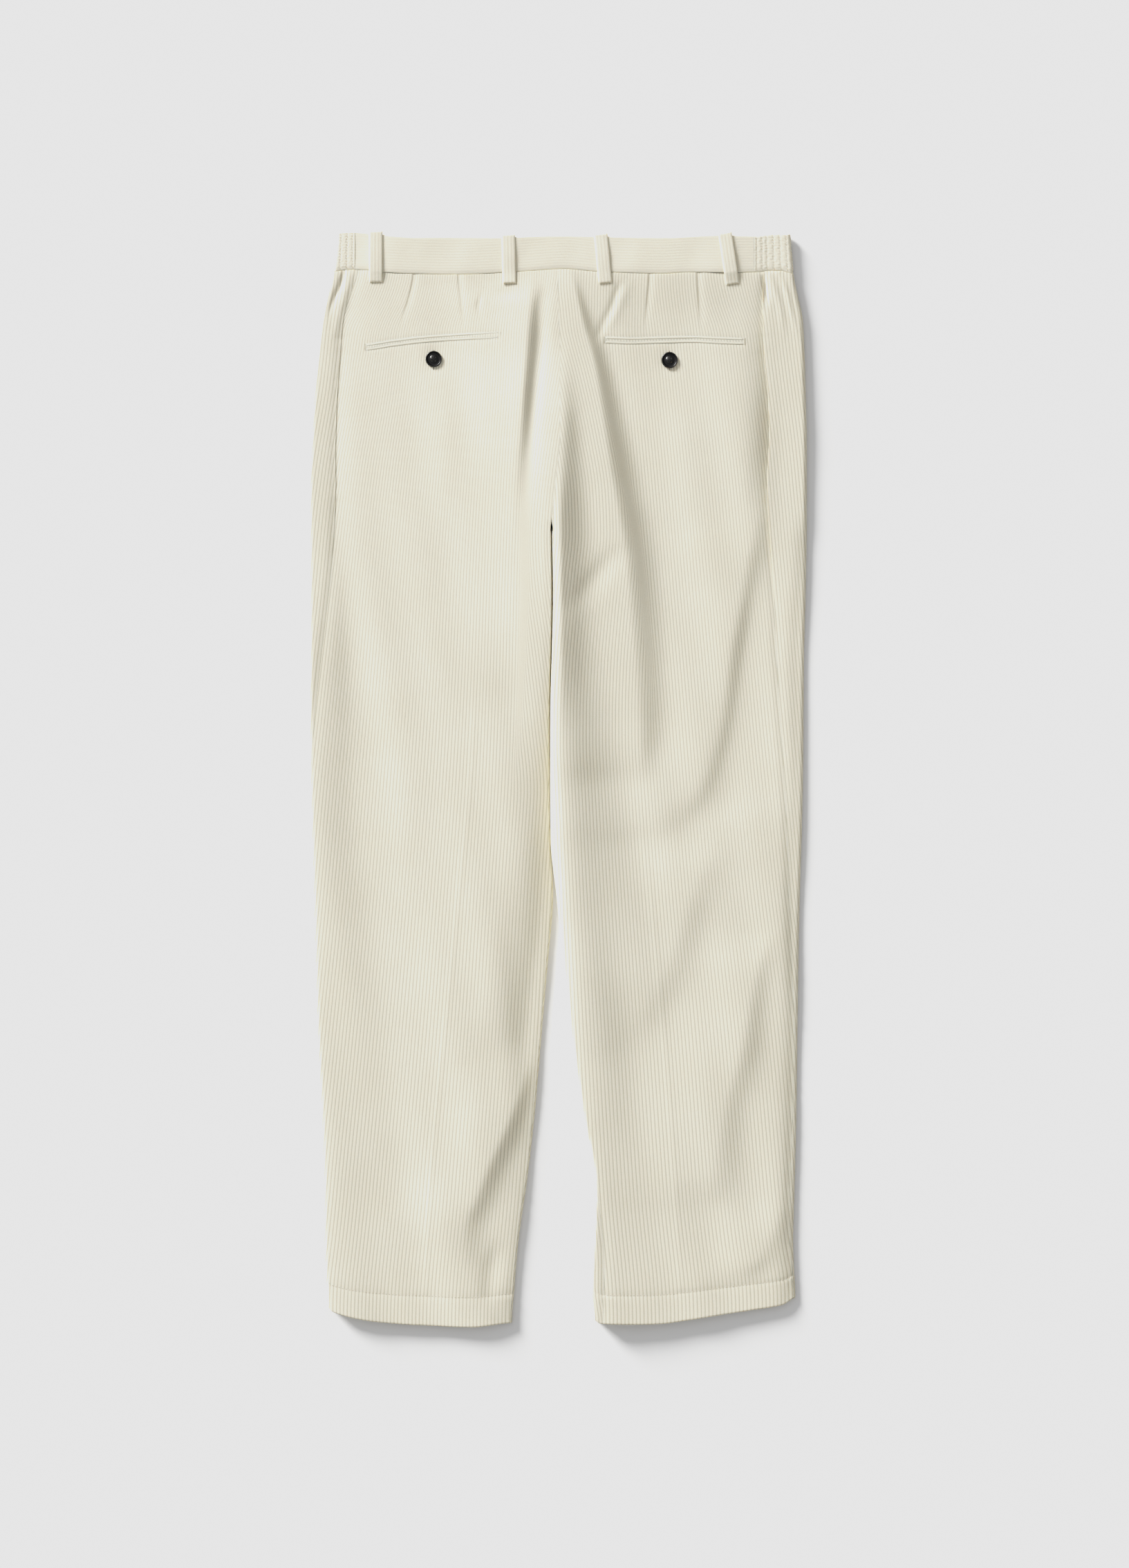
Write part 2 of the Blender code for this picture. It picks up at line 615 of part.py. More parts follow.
def back_band_columns(left, right):
    """The places where the back band's foot follows the panels' own columns, so that their edges match."""
    first, last = ELASTIC_START["left"], ELASTIC_START["right"]
    panels = [*back_columns(left, WAIST_Y), *back_columns(right, WAIST_Y)]
    between = sorted(x for x in panels if first + LEAST_COLUMN < x < last - LEAST_COLUMN)
    apart = [x for x, before in zip(between, [first, *between]) if x - before > SEAM_GAP]
    return [first + SEAM_GAP / 2, *apart, last - SEAM_GAP / 2]


def add_back_band(left, right, material, collection):
    outside = []
    for x in back_band_columns(left, right):
        foot = float(np.interp(x, *seam_points(left, right))) + SEAM_GAP / 2
        rows = band_rows(foot, float(through(WAIST_TOP, x)))
        outside.append([(x, y, BAND_TOP - sink) for y, sink in rows])
    outside = np.array(outside).transpose(1, 0, 2)[::-1]
    return add_wall("waistband_back", outside, outside - (0, 0, BAND_CLOTH), material, collection)


def elastic_path(leg, y):
    """The outside of a shirred side across the edge: a list of (length so far, x, z, direction)."""
    start = ELASTIC_START[leg.side] + leg.out * SEAM_GAP / 2
    end = ELASTIC_END[leg.side] + leg.out * SEAM_GAP / 2
    roll_x = float(leg.outer(y)) - leg.out * EDGE_RADIUS
    half = (BAND_TOP - BAND_UNDERSIDE) / 2
    arc = math.pi * (EDGE_RADIUS + half) / 2
    flat = leg.out * (roll_x - start)
    under = leg.out * (roll_x - end)

    def at(length):
        if length <= flat:
            return start + leg.out * length, BAND_TOP, (0.0, 1.0)
        if length >= flat + arc:
            return roll_x - leg.out * (length - flat - arc), BAND_UNDERSIDE, (0.0, -1.0)
        angle = math.pi * (length - flat) / arc
        x = roll_x + leg.out * EDGE_RADIUS * math.sin(angle)
        z = (BAND_TOP + BAND_UNDERSIDE) / 2 + half * math.cos(angle)
        return x, z, roll_direction(leg.out, angle, half)

    return at, flat + arc + under


def shirring_lines(leg, length):
    """Places of the rows of shirring along a path of this length."""
    lines = list(SHIRRING[leg.side])
    while lines[-1] + 1.5 * SHIRRING_PITCH < length:
        lines.append(lines[-1] + SHIRRING_PITCH)
    return lines


def add_elastic(leg, material, collection):
    """A shirred side of the waistband, puffed out between the rows of shirring."""
    _, length = elastic_path(leg, WAIST_Y)
    stops = [0.0, *shirring_lines(leg, length), length]
    places = [(stop, 0.0) for stop in stops]
    places += [((a + b) / 2, ELASTIC_RIB) for a, b in zip(stops, stops[1:])]
    outside, inside = [], []
    for share in BAND_ROWS:
        nominal = WAIST_Y + share * (float(through(WAIST_TOP, ELASTIC_START[leg.side])) - WAIST_Y)
        at, row_length = elastic_path(leg, nominal)
        puff = 1.0 if 0 < share < 1 else 0.0
        sink = BAND_EDGE_SINK * (1.0 - puff)
        outer_row, inner_row = [], []
        for place, rib in sorted(places):
            x, z, (across, up) = at(place * row_length / length)
            seam = np.interp(x, *seam_points(leg)) if up >= 0 else leg.waist_line(x, np.array(True))
            foot = float(seam) + SEAM_GAP / 2
            y = foot + share * (float(through(WAIST_TOP, x)) - foot)
            proud = rib * puff - sink
            outer_row.append((x + proud * across, y, z + proud * up))
            inner_row.append((x - BAND_CLOTH * across, y, z - BAND_CLOTH * up))
        outside.append(outer_row)
        inside.append(inner_row)
    step = 1 if leg.side == "left" else -1
    outside, inside = np.array(outside)[:, ::step], np.array(inside)[:, ::step]
    return add_wall(f"waistband_elastic_{leg.side}", outside, inside, material, collection)


def add_front_band(leg, material, collection):
    """One half of the front waistband, lying face down. The left half laps over the right at the fly."""
    inner = float(leg.inner(WAIST_Y))
    first = inner + (FLY_LAP if leg.side == "left" else SEAM_GAP)
    last = ELASTIC_END[leg.side] - leg.out * SEAM_GAP / 2
    ramp = (0.0, 4.0, FLY_LAP, FLY_LAP + LAP_RAMP / 2, FLY_LAP + LAP_RAMP)
    near = [first + leg.out * step for step in ramp]
    x = np.array(near + list(np.linspace(near[-1], last, FRONT_BAND_COLUMNS)[1:]))
    z = np.full(len(x), BAND_UNDERSIDE)
    if leg.side == "right":
        z = z + (BAND_CLOTH + SEAM_GAP) * ease((FLY_LAP + LAP_RAMP - (x - inner)) / LAP_RAMP)
    rows = []
    for share in BAND_ROWS:
        foot = leg.waist_line(x, np.ones(len(x), bool)) + SEAM_GAP / 2
        rows.append(np.stack([x, foot + share * (through(WAIST_TOP, x) - foot), z], axis=1))
    outside = np.array(rows)[::-1]
    if leg.side == "right":
        outside = outside[:, ::-1]
    name = f"waistband_front_{leg.side}"
    return add_wall(name, outside, outside + (0, 0, BAND_CLOTH), material, collection)


# ---------------------------------------------------------------- belt loops


def add_back_loop(name, x, lean, surface, material, collection):
    """A loop standing over the band, sewn down above its upper edge and below the waist seam."""
    foot = float(through(WAIST_SEAM, x)) - LOOP_DROP
    band_top = float(through(WAIST_TOP, x))
    outside = []
    for y in np.linspace(band_top + LOOP_OVER_TOP, foot, LOOP_ROWS):
        share = (y - foot) / (band_top + LOOP_OVER_TOP - foot)
        centre = x + lean * (share - 0.5)
        across = [centre + side * LOOP_WIDTH / 2 for side in (-1, -0.5, 0, 0.5, 1)]
        near = [y - LOOP_CLEARING, y, y + LOOP_CLEARING]
        found = [surface(px, py) for px in across for py in near]
        base = max(height for height in found if height is not None)
        z = base + SEAM_GAP + LOOP_CLOTH + LOOP_ARCH * math.sin(math.pi * share) ** 2
        outside.append([(px, y, z) for px in across])
    outside = np.array(outside)
    return add_wall(name, outside, outside - (0, 0, LOOP_CLOTH), material, collection)


def add_front_loop(name, x, material, collection):
    """A plain loop under the front waistband, lying on the surface."""
    foot = float(through(WAIST_SEAM, 0.0)) - LOOP_DROP
    length = float(through(WAIST_TOP, x)) - foot
    bpy.ops.mesh.primitive_cube_add(size=1)
    loop = bpy.context.object
    loop.name = name
    loop.scale = (LOOP_WIDTH * MM, length * MM, LOOP_CLOTH * MM)
    loop.location = (x * MM, (foot + length / 2) * MM, LOOP_CLOTH / 2 * MM)
    bpy.ops.object.transform_apply(location=False, rotation=False, scale=True)
    for holder in list(loop.users_collection):
        holder.objects.unlink(loop)
    collection.objects.link(loop)
    loop.data.materials.append(material)
    return loop


# ---------------------------------------------------------------- pockets and buttons


def add_welt(name, line, offset, surface, material, collection):
    """One jet of a back pocket, a strip lying on the panel along the pocket's mouth."""
    outside, inside = [], []
    for side in (1, 0, -1):
        row_out, row_in = [], []
        for x in np.linspace(line[0][0], line[-1][0], WELT_COLUMNS):
            y = float(through(line, x)) + offset + side * WELT_HEIGHT / 2
            base = surface(x, y) + SEAM_GAP
            row_out.append((x, y, base + WELT_CLOTH))
            row_in.append((x, y, base))
        outside.append(row_out)
        inside.append(row_in)
    return add_wall(name, np.array(outside), np.array(inside), material, collection)


def button_profile():
    """The button's section, down its outer side: (radius, height) in millimetres."""
    rim_inner = BUTTON_RADIUS - BUTTON_RIM
    return (
        (0.0, BUTTON_HEIGHT - BUTTON_DISH),
        (rim_inner - BUTTON_SLOPE, BUTTON_HEIGHT - BUTTON_DISH),
        (rim_inner, BUTTON_HEIGHT - BUTTON_SOFTENING),
        (rim_inner + BUTTON_RIM / 2, BUTTON_HEIGHT),
        (BUTTON_RADIUS - BUTTON_SOFTENING, BUTTON_HEIGHT - 2 * BUTTON_SOFTENING),
        (BUTTON_RADIUS, BUTTON_HEIGHT / 2),
        (BUTTON_RADIUS - BUTTON_FOOT, 0.0),
        (0.0, 0.0),
    )


def add_button(name, x, y, surface, material, collection, cutters):
    """A turned button with a rim and four thread holes, seated on the highest cloth below it."""
    rings = (0.0, BUTTON_RADIUS / 2, BUTTON_RADIUS)
    turns = np.linspace(0, 2 * math.pi, HOLE_SIDES + 1)
    seat = max(surface(x + r * math.cos(a), y + r * math.sin(a)) for r in rings for a in turns) + SEAM_GAP
    points = [(radius * MM, 0.0, height * MM) for radius, height in button_profile()]
    mesh = bpy.data.meshes.new(name)
    mesh.from_pydata(points, [(i, i + 1) for i in range(len(points) - 1)], [])
    button = add_object(name, mesh, material, collection)
    button.location = (x * MM, y * MM, seat * MM)
    turned = button.modifiers.new("turned", "SCREW")
    turned.axis = "Z"
    turned.steps = turned.render_steps = BUTTON_STEPS
    turned.use_merge_vertices = True
    turned.merge_threshold = 0.00001
    for i, (sx, sy) in enumerate(((1, 1), (-1, 1), (-1, -1), (1, -1))):
        depth = 4 * BUTTON_HEIGHT * MM
        bpy.ops.mesh.primitive_cylinder_add(vertices=HOLE_SIDES, radius=THREAD_HOLE_RADIUS * MM, depth=depth)
        cutter = bpy.context.object
        cutter.name = f"{name}_hole_cutter_{i}"
        cutter.location = ((x + sx * THREAD_HOLE_OFFSET) * MM, (y + sy * THREAD_HOLE_OFFSET) * MM, seat * MM)
        cutter.hide_render = True
        cutter.display_type = "WIRE"
        for holder in list(cutter.users_collection):
            holder.objects.unlink(cutter)
        cutters.objects.link(cutter)
        hole = button.modifiers.new(f"hole_{i}", "BOOLEAN")
        hole.operation = "DIFFERENCE"
        hole.object = cutter
    return button


# ---------------------------------------------------------------- build


def main():
    clear_scene()
    garment = make_collection("chinos")
    cutters = make_collection("cutters")
    corduroy = make_material("cream_corduroy", (0.78, 0.75, 0.63), 0.95)
    black = make_material("black_button", (0.012, 0.012, 0.013), 0.18)
    left, right = Leg("left"), Leg("right")
    backs = [
        add_panel("back_left", left, back_row, False, corduroy, garment),
        add_panel("back_right", right, back_row, True, corduroy, garment),
    ]
    add_panel("front_left", left, front_row, False, corduroy, garment)
    add_panel("front_right", right, front_row, True, corduroy, garment)
    band = add_back_band(left, right, corduroy, garment)
    for leg in (left, right):
        add_elastic(leg, corduroy, garment)
        add_front_band(leg, corduroy, garment)
    surface = height_finder(*backs, band)
    for name, (x, lean) in BACK_LOOPS.items():
        add_back_loop(name, x, lean, surface, corduroy, garment)
    for name, x in FRONT_LOOPS.items():
        add_front_loop(name, x, corduroy, garment)
    seam_offset = (WELT_HEIGHT + WELT_SLIT) / 2
    for side, line in POCKET_LINES.items():
        add_welt(f"welt_{side}_upper", line, seam_offset, surface, corduroy, garment)
        add_welt(f"welt_{side}_lower", line, -seam_offset, surface, corduroy, garment)
    for name, (x, y) in BUTTONS.items():
        add_button(name, x, y, surface, black, garment, cutters)


main()
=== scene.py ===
"""Looks of the cream corduroy chinos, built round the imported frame.

The cloth is modelled rib by rib. Each panel is a thin shell on its solid's form whose columns follow the
ribs, so that they fan, lean and run out into seams, darts and folds. Lengths are in millimetres until a mesh
is made. X runs to the right, Y from the hems to the waist, and Z up from the surface it lies on.
"""

import json
import math

import bpy
import numpy as np
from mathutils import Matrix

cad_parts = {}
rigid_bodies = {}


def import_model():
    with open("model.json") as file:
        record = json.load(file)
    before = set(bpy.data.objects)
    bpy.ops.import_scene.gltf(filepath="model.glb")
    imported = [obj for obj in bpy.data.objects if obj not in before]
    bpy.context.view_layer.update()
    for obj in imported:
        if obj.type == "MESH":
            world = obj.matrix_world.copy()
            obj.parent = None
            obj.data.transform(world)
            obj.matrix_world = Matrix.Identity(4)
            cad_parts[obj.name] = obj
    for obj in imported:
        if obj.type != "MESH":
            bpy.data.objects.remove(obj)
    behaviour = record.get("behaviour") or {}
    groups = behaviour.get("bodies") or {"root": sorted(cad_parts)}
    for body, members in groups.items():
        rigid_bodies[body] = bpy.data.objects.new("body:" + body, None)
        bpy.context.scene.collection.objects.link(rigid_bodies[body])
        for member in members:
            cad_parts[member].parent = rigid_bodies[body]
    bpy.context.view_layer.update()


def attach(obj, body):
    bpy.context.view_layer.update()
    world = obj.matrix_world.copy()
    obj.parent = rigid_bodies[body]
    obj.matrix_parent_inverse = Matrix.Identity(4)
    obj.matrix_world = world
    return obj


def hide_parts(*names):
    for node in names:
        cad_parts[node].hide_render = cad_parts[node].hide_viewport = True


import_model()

MM = 0.001

# Cloth
CLOTH = 1.6
HEM_WALL = 2.6  # corduroy turned up inside the hem
BAND_CLOTH = 2.2  # waistband: corduroy, interfacing and facing
LOOP_CLOTH = 1.5
WELT_CLOTH = 1.4  # a jet is the cloth folded double and pressed
SEAM_GAP = 0.3
SEWN_GAP = 0.05  # where two pieces are sewn together, their edges press against each other
EDGE_RADIUS = 4.2  # how far a side edge rolls over
INNER_RADIUS = ((250, 0.9), (200, 1.2), (100, 1.9), (0, 2.6))  # and a leg's inner edge, at each y
INNER_FLAT = 9.6  # width of the strip beside the centre seam that flattens into the seat
SEAM_SINK = 0.3  # a seam lies this much below the cloth beside it
SEAM_REACH = 4.0

# Heights above the surface
BAND_UNDERSIDE = 1.9  # the front waistband rides on its belt loops
BAND_RAMP_Y = 452.0  # below this the front panels lie on the surface
BAND_RAMP = 22.0
BAND_TOP = 10.2
LOWEST_SEAT = 5.7  # least height of the back panels over the two laps of the fly
LOWEST_LEG = 3.9
LOWEST_BLEND = 40.0  # length over which one gives way to the other at the crotch

WAIST_Y = 490.0  # nominal waist seam
HEM_Y = -529.0
CROTCH_Y = 244.0
CROTCH_BLEND = 16.0
WAIST_FOLLOW_Y = 430.0  # rows above this bend towards the waist seam
HEM_FOLLOW_Y = -440.0  # rows below this bend towards the hem
FLOOR_SOFTNESS = 0.8
SHARP_ANGLE = 70.0  # the turned edges of a piece are sharp, its folds are not

# Fly: the left front laps over the right
FLY_LAP = 8.0
FLY_END_Y = 322.0
LAP_STEP = 12.0
LAP_RAMP = 8.0
LAP_RISE = 20.0

SECTIONS = {
    "columns": ("y", "left_outer", "left_wrap", "left_inner", "right_inner", "right_wrap", "right_outer"),
    "rows": (
        (529, -213.7, 25.5, 0.7, 0.7, 30, 225), (491, -218, 25.5, 0.7, 0.7, 30, 228),
        (470, -223, 23.5, 0, 0, 34, 232), (445, -229, 21.5, 1, 1, 39, 237),
        (410, -233.5, 23, 2, 2, 40, 239), (370, -237, 23.5, 2, 2, 37, 240), (330, -239, 24, 2, 2, 37, 241),
        (285, -241, 26, -2.5, -2.5, 39, 241), (240, -241, 24.5, -6.03, -5.97, 36.5, 241),
        (180, -241, 19.5, -5.35, -5.25, 31, 240), (120, -241, 12.5, -6.35, -6.2, 27, 238.5),
        (60, -241, 6, -7.65, -7.45, 23, 238), (0, -240.5, 2, -8, -7.5, 18.5, 237.5),
        (-60, -239, 1.5, -7.4, -7, 14, 236), (-110, -237.5, 1.5, -4.6, -1.8, 11, 234.5),
        (-180, -235.5, 1.5, -10, 5.5, 6.5, 233), (-250, -233.5, 1.5, -16, 13, 3.5, 232),
        (-330, -229.5, 1.5, -23, 25, 4, 231), (-390, -227.5, 1.5, -30, 35.5, 4.5, 229.5),
        (-450, -227, 1.5, -38.5, 33.5, 3.5, 228), (-500, -225.5, 1.5, -42.5, 31.5, 2, 229),
        (-529, -224, 1.5, -44.5, 33.5, 2, 230),
    ),
}

# How far each inseam lies from the inner edge, on top: near the right hem the front shows beside it
INSEAM_WRAP = {
    "left": ((491, 1.5), (-529, 1.5)),
    "right": ((491, 1.5), (-375, 1.5), (-400, 3), (-430, 8), (-465, 12), (-500, 13), (-529, 10)),
}

# Height of the back over the surface where it lies quietly
QUIET_HEIGHT = (
    (491, 10), (450, 8.4), (400, 7.2), (250, 6.6), (150, 6.2), (0, 6), (-300, 6), (-450, 6.2), (-529, 6.6),
)

WAIST_SEAM = (
    (-218, 490.5), (-201, 492.3), (-184, 491.8), (-166, 489.3), (-137, 488), (-100, 487.2), (-58, 488.7),
    (-25, 490.8), (7, 492.6), (37, 490.1), (62, 489), (101, 488.1), (129, 489.4), (160, 489.1),
    (188, 489.4), (206, 491.2), (216, 491.2), (228, 488.4),
)
WAIST_TOP = (
    (-214, 529), (-196, 529), (-182, 527.5), (-138, 523.5), (-54, 523.5), (0, 525), (60, 524), (105, 523.5),
    (156, 525.5), (190, 525), (208, 527), (226, 527),
)
HEM_LINE = {
    "left": ((-226, -508), (-216, -515), (-169, -525), (-126, -528), (-84, -529.5), (-44, -526)),
    "right": (
        (32, -520), (42, -525.5), (78, -526.5), (100, -526), (123, -523), (155, -518), (188, -513),
        (218, -508), (230, -502),
    ),
}

# Folds of the back. Each station is (y, x, height, reach to the left, reach to the right)
FOLDS = {
    "left_seat_mound": (
        (488, -46, 0, 112, 34), (455, -46, 3, 114, 34), (413, -46, 4.6, 118, 36), (373, -46, 5.4, 122, 36),
        (333, -46, 5.6, 126, 38), (252, -46, 5.6, 126, 42), (200, -44, 5.4, 124, 46),
        (120, -40, 5, 120, 48), (50, -44, 3.8, 112, 48), (-60, -54, 1.6, 100, 44), (-150, -60, 0, 90, 40),
    ),
    "left_seat_ridge": (
        (498, -27, 0, 44, 8), (455, -29, 2.2, 50, 9), (413, -32, 3.6, 54, 9), (373, -35, 4.2, 54, 9),
        (333, -37, 3.2, 54, 9), (293, -41, 1.9, 54, 11), (252, -44, 0.8, 50, 14), (195, -48, 0, 44, 20),
    ),
    "left_seat_valley": (
        (482, -14, 0, 5, 8), (455, -17, -1.2, 6, 8), (413, -20, -1.9, 6, 8), (373, -24, -2, 6, 8),
        (333, -27, -1.6, 7, 8), (293, -30, -0.9, 8, 9), (240, -32, 0, 8, 10),
    ),
    "main_fold": (
        (494, 10, 0, 38, 6), (473, 15, 2, 44, 6), (453, 20, 4, 50, 7), (433, 25, 5.2, 54, 8.5),
        (413, 31, 6, 58, 10), (373, 38.5, 7.6, 66, 12.5), (333, 44, 8.8, 70, 15), (293, 50, 9.6, 74, 17),
        (252, 57.5, 9.8, 78, 18.5), (205, 65, 9.4, 78, 19.5), (152, 69, 8.4, 78, 22), (98, 74, 6.6, 80, 22),
        (45, 77, 4.2, 80, 18), (18, 78, 2, 80, 14), (-5, 78, 0, 80, 14),
    ),
    "centre_ridge": (
        (430, 2, 0, 60, 11), (393, 2, 1.8, 62, 11.5), (373, 2, 3.4, 64, 12), (353, 3, 5.2, 66, 12.5),
        (333, 3, 6.4, 68, 13.5), (313, 2, 7.2, 70, 15), (272, 1, 8, 70, 17), (205, 0, 8.4, 68, 19),
        (152, 1, 7.8, 64, 19), (98, 2, 5.4, 50, 20), (60, 2, 2.6, 30, 24), (20, 2, 0, 10, 30),
    ),
    "right_inner_ridge": (
        (170, 1, 0, 30, 21), (152, 1, 1, 30, 21), (98, 2, 4.4, 30, 26), (60, 3, 7.6, 30, 30),
        (20, 4, 10.8, 30, 34), (-36, 7, 11.4, 30, 39), (-76, 10, 10.2, 30, 42), (-116, 12, 9, 30, 43),
        (-156, 18, 7.6, 30, 42), (-217, 18, 6.6, 30, 42), (-284, 24, 5.8, 30, 38), (-344, 28, 5.4, 34, 34),
        (-384, 32, 4.6, 34, 34), (-430, 38, 3, 34, 34), (-529, 40, 1.5, 30, 34),
    ),
    "right_leg_mound": (
        (60, 20, 0, 50, 130), (0, 20, 2.6, 50, 130), (-60, 20, 4.6, 50, 135), (-116, 20, 5.8, 50, 140),
        (-250, 22, 5.8, 50, 140), (-330, 30, 5.8, 50, 140), (-420, 40, 6, 50, 140),
        (-529, 40, 5.4, 50, 140),
    ),
    "seat_crease": (
        (160, 18, 0, 10, 12), (180, 26, -0.9, 10, 14), (196, 37, -1.3, 10, 14), (210, 48, -1, 11, 14),
        (230, 56, 0, 12, 14),
    ),
    "left_hip_press": (
        (498, -235, -2.6, 40, 70), (470, -238, -1.9, 40, 66), (430, -240, -0.8, 40, 60),
        (390, -240, 0, 40, 60),
    ),
    "right_hip_press": (
        (498, 235, -2.6, 70, 40), (470, 238, -1.9, 66, 40), (430, 240, -0.8, 60, 40), (390, 240, 0, 60, 40),
    ),
    "right_pocket_rise": (
        (455, 190, 0, 60, 12), (410, 189, 1.2, 60, 13), (330, 191, 2, 60, 13), (270, 192, 1.8, 60, 14),
        (220, 190, 0.8, 60, 14), (180, 188, 0, 60, 14),
    ),
    "right_seat_dip": (
        (470, 40, 0, 10, 50), (433, 50, -0.6, 12, 50), (373, 66, -1.2, 14, 60), (293, 86, -1.3, 16, 60),
        (205, 102, -1.2, 18, 60), (130, 108, -0.8, 18, 60), (60, 110, 0, 18, 60),
    ),
    "right_knee_wave": (
        (270, 190, 0, 70, 12), (219, 183, 1.6, 80, 12), (179, 176, 2.2, 84, 13), (118, 164, 2.8, 86, 14),
        (51, 155, 2.8, 84, 16), (18, 145, 2.6, 80, 19), (-16, 131, 2, 74, 24), (-42, 108, 1, 66, 28),
        (-62, 84, 0, 60, 30),
    ),
    "right_knee_valley": (
        (240, 200, 0, 12, 30), (179, 192, -1.2, 12, 40), (118, 182, -1.6, 12, 44), (51, 172, -1.6, 14, 46),
        (-16, 152, -1.4, 16, 48), (-60, 118, 0, 18, 48),
    ),
    "right_shin_wave": (
        (-50, 150, 0, 70, 18), (-90, 134, 1.5, 74, 20), (-130, 120, 2.2, 76, 20), (-183, 102, 2.6, 76, 22),
        (-217, 84, 1.8, 70, 26), (-245, 62, 0.8, 60, 30), (-275, 42, 0, 50, 30),
    ),
    "right_calf_wave": (
        (-140, 204, 0, 50, 12), (-183, 190, 2.2, 60, 14), (-217, 183, 3, 64, 15), (-250, 177, 3.6, 68, 17),
        (-284, 168, 3.8, 70, 18), (-317, 159, 3.6, 70, 20), (-351, 153, 3, 68, 22),
        (-384, 146, 2.2, 64, 24), (-425, 132, 0, 60, 26),
    ),
    "right_hem_wave": (
        (-400, 214, 0, 32, 12), (-440, 204, 1.4, 36, 13), (-470, 190, 1.4, 40, 15), (-505, 166, 0, 40, 18),
    ),
    "right_edge": (
        (262, 241, 0, 8, 8), (220, 241, -1.8, 9, 9), (120, 238.5, -2.8, 11, 10), (0, 237.5, -2.8, 11, 10),
        (-180, 233, -2.8, 11, 10), (-330, 231, -2.8, 11, 10), (-529, 229, -2.6, 12, 10),
    ),
    "left_edge": (
        (220, -241, 0, 20, 18), (120, -241, 1.8, 20, 24), (0, -240, 2.6, 20, 32), (-60, -239, 3, 20, 44),
        (-120, -237, 3.2, 20, 64), (-250, -233, 3.8, 20, 100), (-400, -227, 4.6, 20, 120),
        (-529, -224, 4.6, 20, 120),
    ),
    "left_thigh_valley": (
        (270, -212, -0.4, 8, 12), (180, -205, -1.4, 12, 16), (120, -199, -2.2, 15, 20),
        (60, -196, -2.4, 17, 24), (0, -193, -2.4, 19, 26), (-60, -187, -2.2, 22, 28),
        (-120, -172, -1.8, 28, 32), (-200, -160, -1.4, 38, 40), (-300, -162, -1.4, 38, 40),
        (-400, -164, -1.6, 38, 40), (-460, -150, -1.8, 38, 36), (-529, -150, -1.2, 36, 36),
    ),
    "left_inner_edge": (
        (110, -7.5, 0, 10, 6), (40, -8.8, -1.2, 11, 6), (-60, -8.1, -2.4, 14, 6), (-110, -5.5, -3.2, 18, 6),
        (-180, -10, -4, 20, 6), (-250, -16, -4.2, 22, 6), (-330, -23, -3, 18, 6), (-390, -30, -1.8, 14, 6),
        (-450, -38.5, -1, 12, 6), (-529, -44.5, -1, 12, 6),
    ),
    "left_inner_mound": (
        (90, -24, 0, 60, 30), (45, -31, 1.2, 66, 38), (5, -40, 1.8, 70, 44), (-50, -48, 2.6, 76, 44),
        (-116, -58, 4, 78, 40), (-183, -70, 4.4, 78, 36), (-250, -78, 4, 76, 32), (-317, -84, 2.6, 74, 30),
        (-400, -100, 0, 70, 30),
    ),
    "left_calf_wave": (
        (-250, -24, 0, 40, 10), (-290, -34, 2.4, 46, 12), (-330, -49, 4.2, 50, 13),
        (-370, -67, 4.8, 52, 14), (-405, -82, 4.6, 52, 16), (-435, -93, 3.8, 50, 17),
        (-465, -92, 2.6, 50, 18), (-495, -80, 2.2, 46, 18), (-529, -76, 1.6, 44, 18),
    ),
    "left_hem_dent": (
        (-440, -56, 0, 8, 10), (-475, -64, -1.3, 9, 10), (-495, -66, -1, 9, 9), (-515, -66, 0, 9, 9),
    ),
}
FLAT_TO_THE_LEFT = ("main_fold",)
BELL_POWER = 2.0
FLAT_POWER = 4.0
ON_RIGHT_LEG = ("right_inner_ridge", "right_leg_mound")  # folds that end at the gap between the legs

# The side pockets open on the side seams, where the back dips under the edge of the front
POCKET_MOUTH = {
    "left": ((470, 0), (440, 0.8), (380, 1.2), (300, 1.2), (255, 0.7), (200, 0.2), (150, 0)),
    "right": ((480, 0.4), (440, 1.4), (400, 2.8), (330, 3.4), (290, 2.8), (250, 1.6), (200, 0.5), (150, 0)),
}
MOUTH_REACH = {"left": 15.0, "right": 14.0}
LIP_REACH = 9.0
LIP_SHARE = {"left": -0.6, "right": 0.3}  # above 0 the edge stands up, below 0 it dips with the back

# Belt loops: a back loop's middle, and how far its top leans to the right of its foot
LOOP_WIDTH = 13.0
LOOP_DROP = 11.0  # a loop's foot below the waist seam
LOOP_OVER_TOP = 2.5  # its fold stands this much over the band's upper edge
LOOP_ARCH = 0.5  # how far its middle stands off the band
LOOP_SINK = 0.6  # how far the loops press into the pile
LOOP_CLEARING = 3.0  # it clears the highest cloth within this distance along it
BACK_LOOPS = {
    "belt_loop_back_outer_left": (-176.0, 0.0),
    "belt_loop_back_inner_left": (-47.5, -1.0),
    "belt_loop_back_inner_right": (43.5, -4.5),
    "belt_loop_back_outer_right": (165.0, -7.5),
}
FRONT_LOOPS = {"belt_loop_front_left": -96.0, "belt_loop_front_right": 96.0}

WELT_HEIGHT = 3.4
WELT_SLIT = 0.6
# The mouth of each back pocket, from its left end to its right end
POCKET_LINES = {
    "left": ((-186, 417.5), (-160, 421), (-130, 424.5), (-100, 426.5), (-72, 427.5), (-56, 428)),
    "right": ((45, 424.5), (70, 423.5), (100, 424.5), (130, 425), (160, 423.5), (180, 423)),
}

BUTTON_RADIUS = 7.8
THREAD_HOLE_RADIUS = 0.85
THREAD_HOLE_OFFSET = 1.7
HOLE_SIDES = 24
DRILL_LENGTH = 22.4  # of the cutter that makes them, which goes right through
BUTTON_TURNS = 96
BUTTON_SHARP_ANGLE = 40
BUTTON_SINK = 0.6  # how far the button is drawn into the pile by its thread
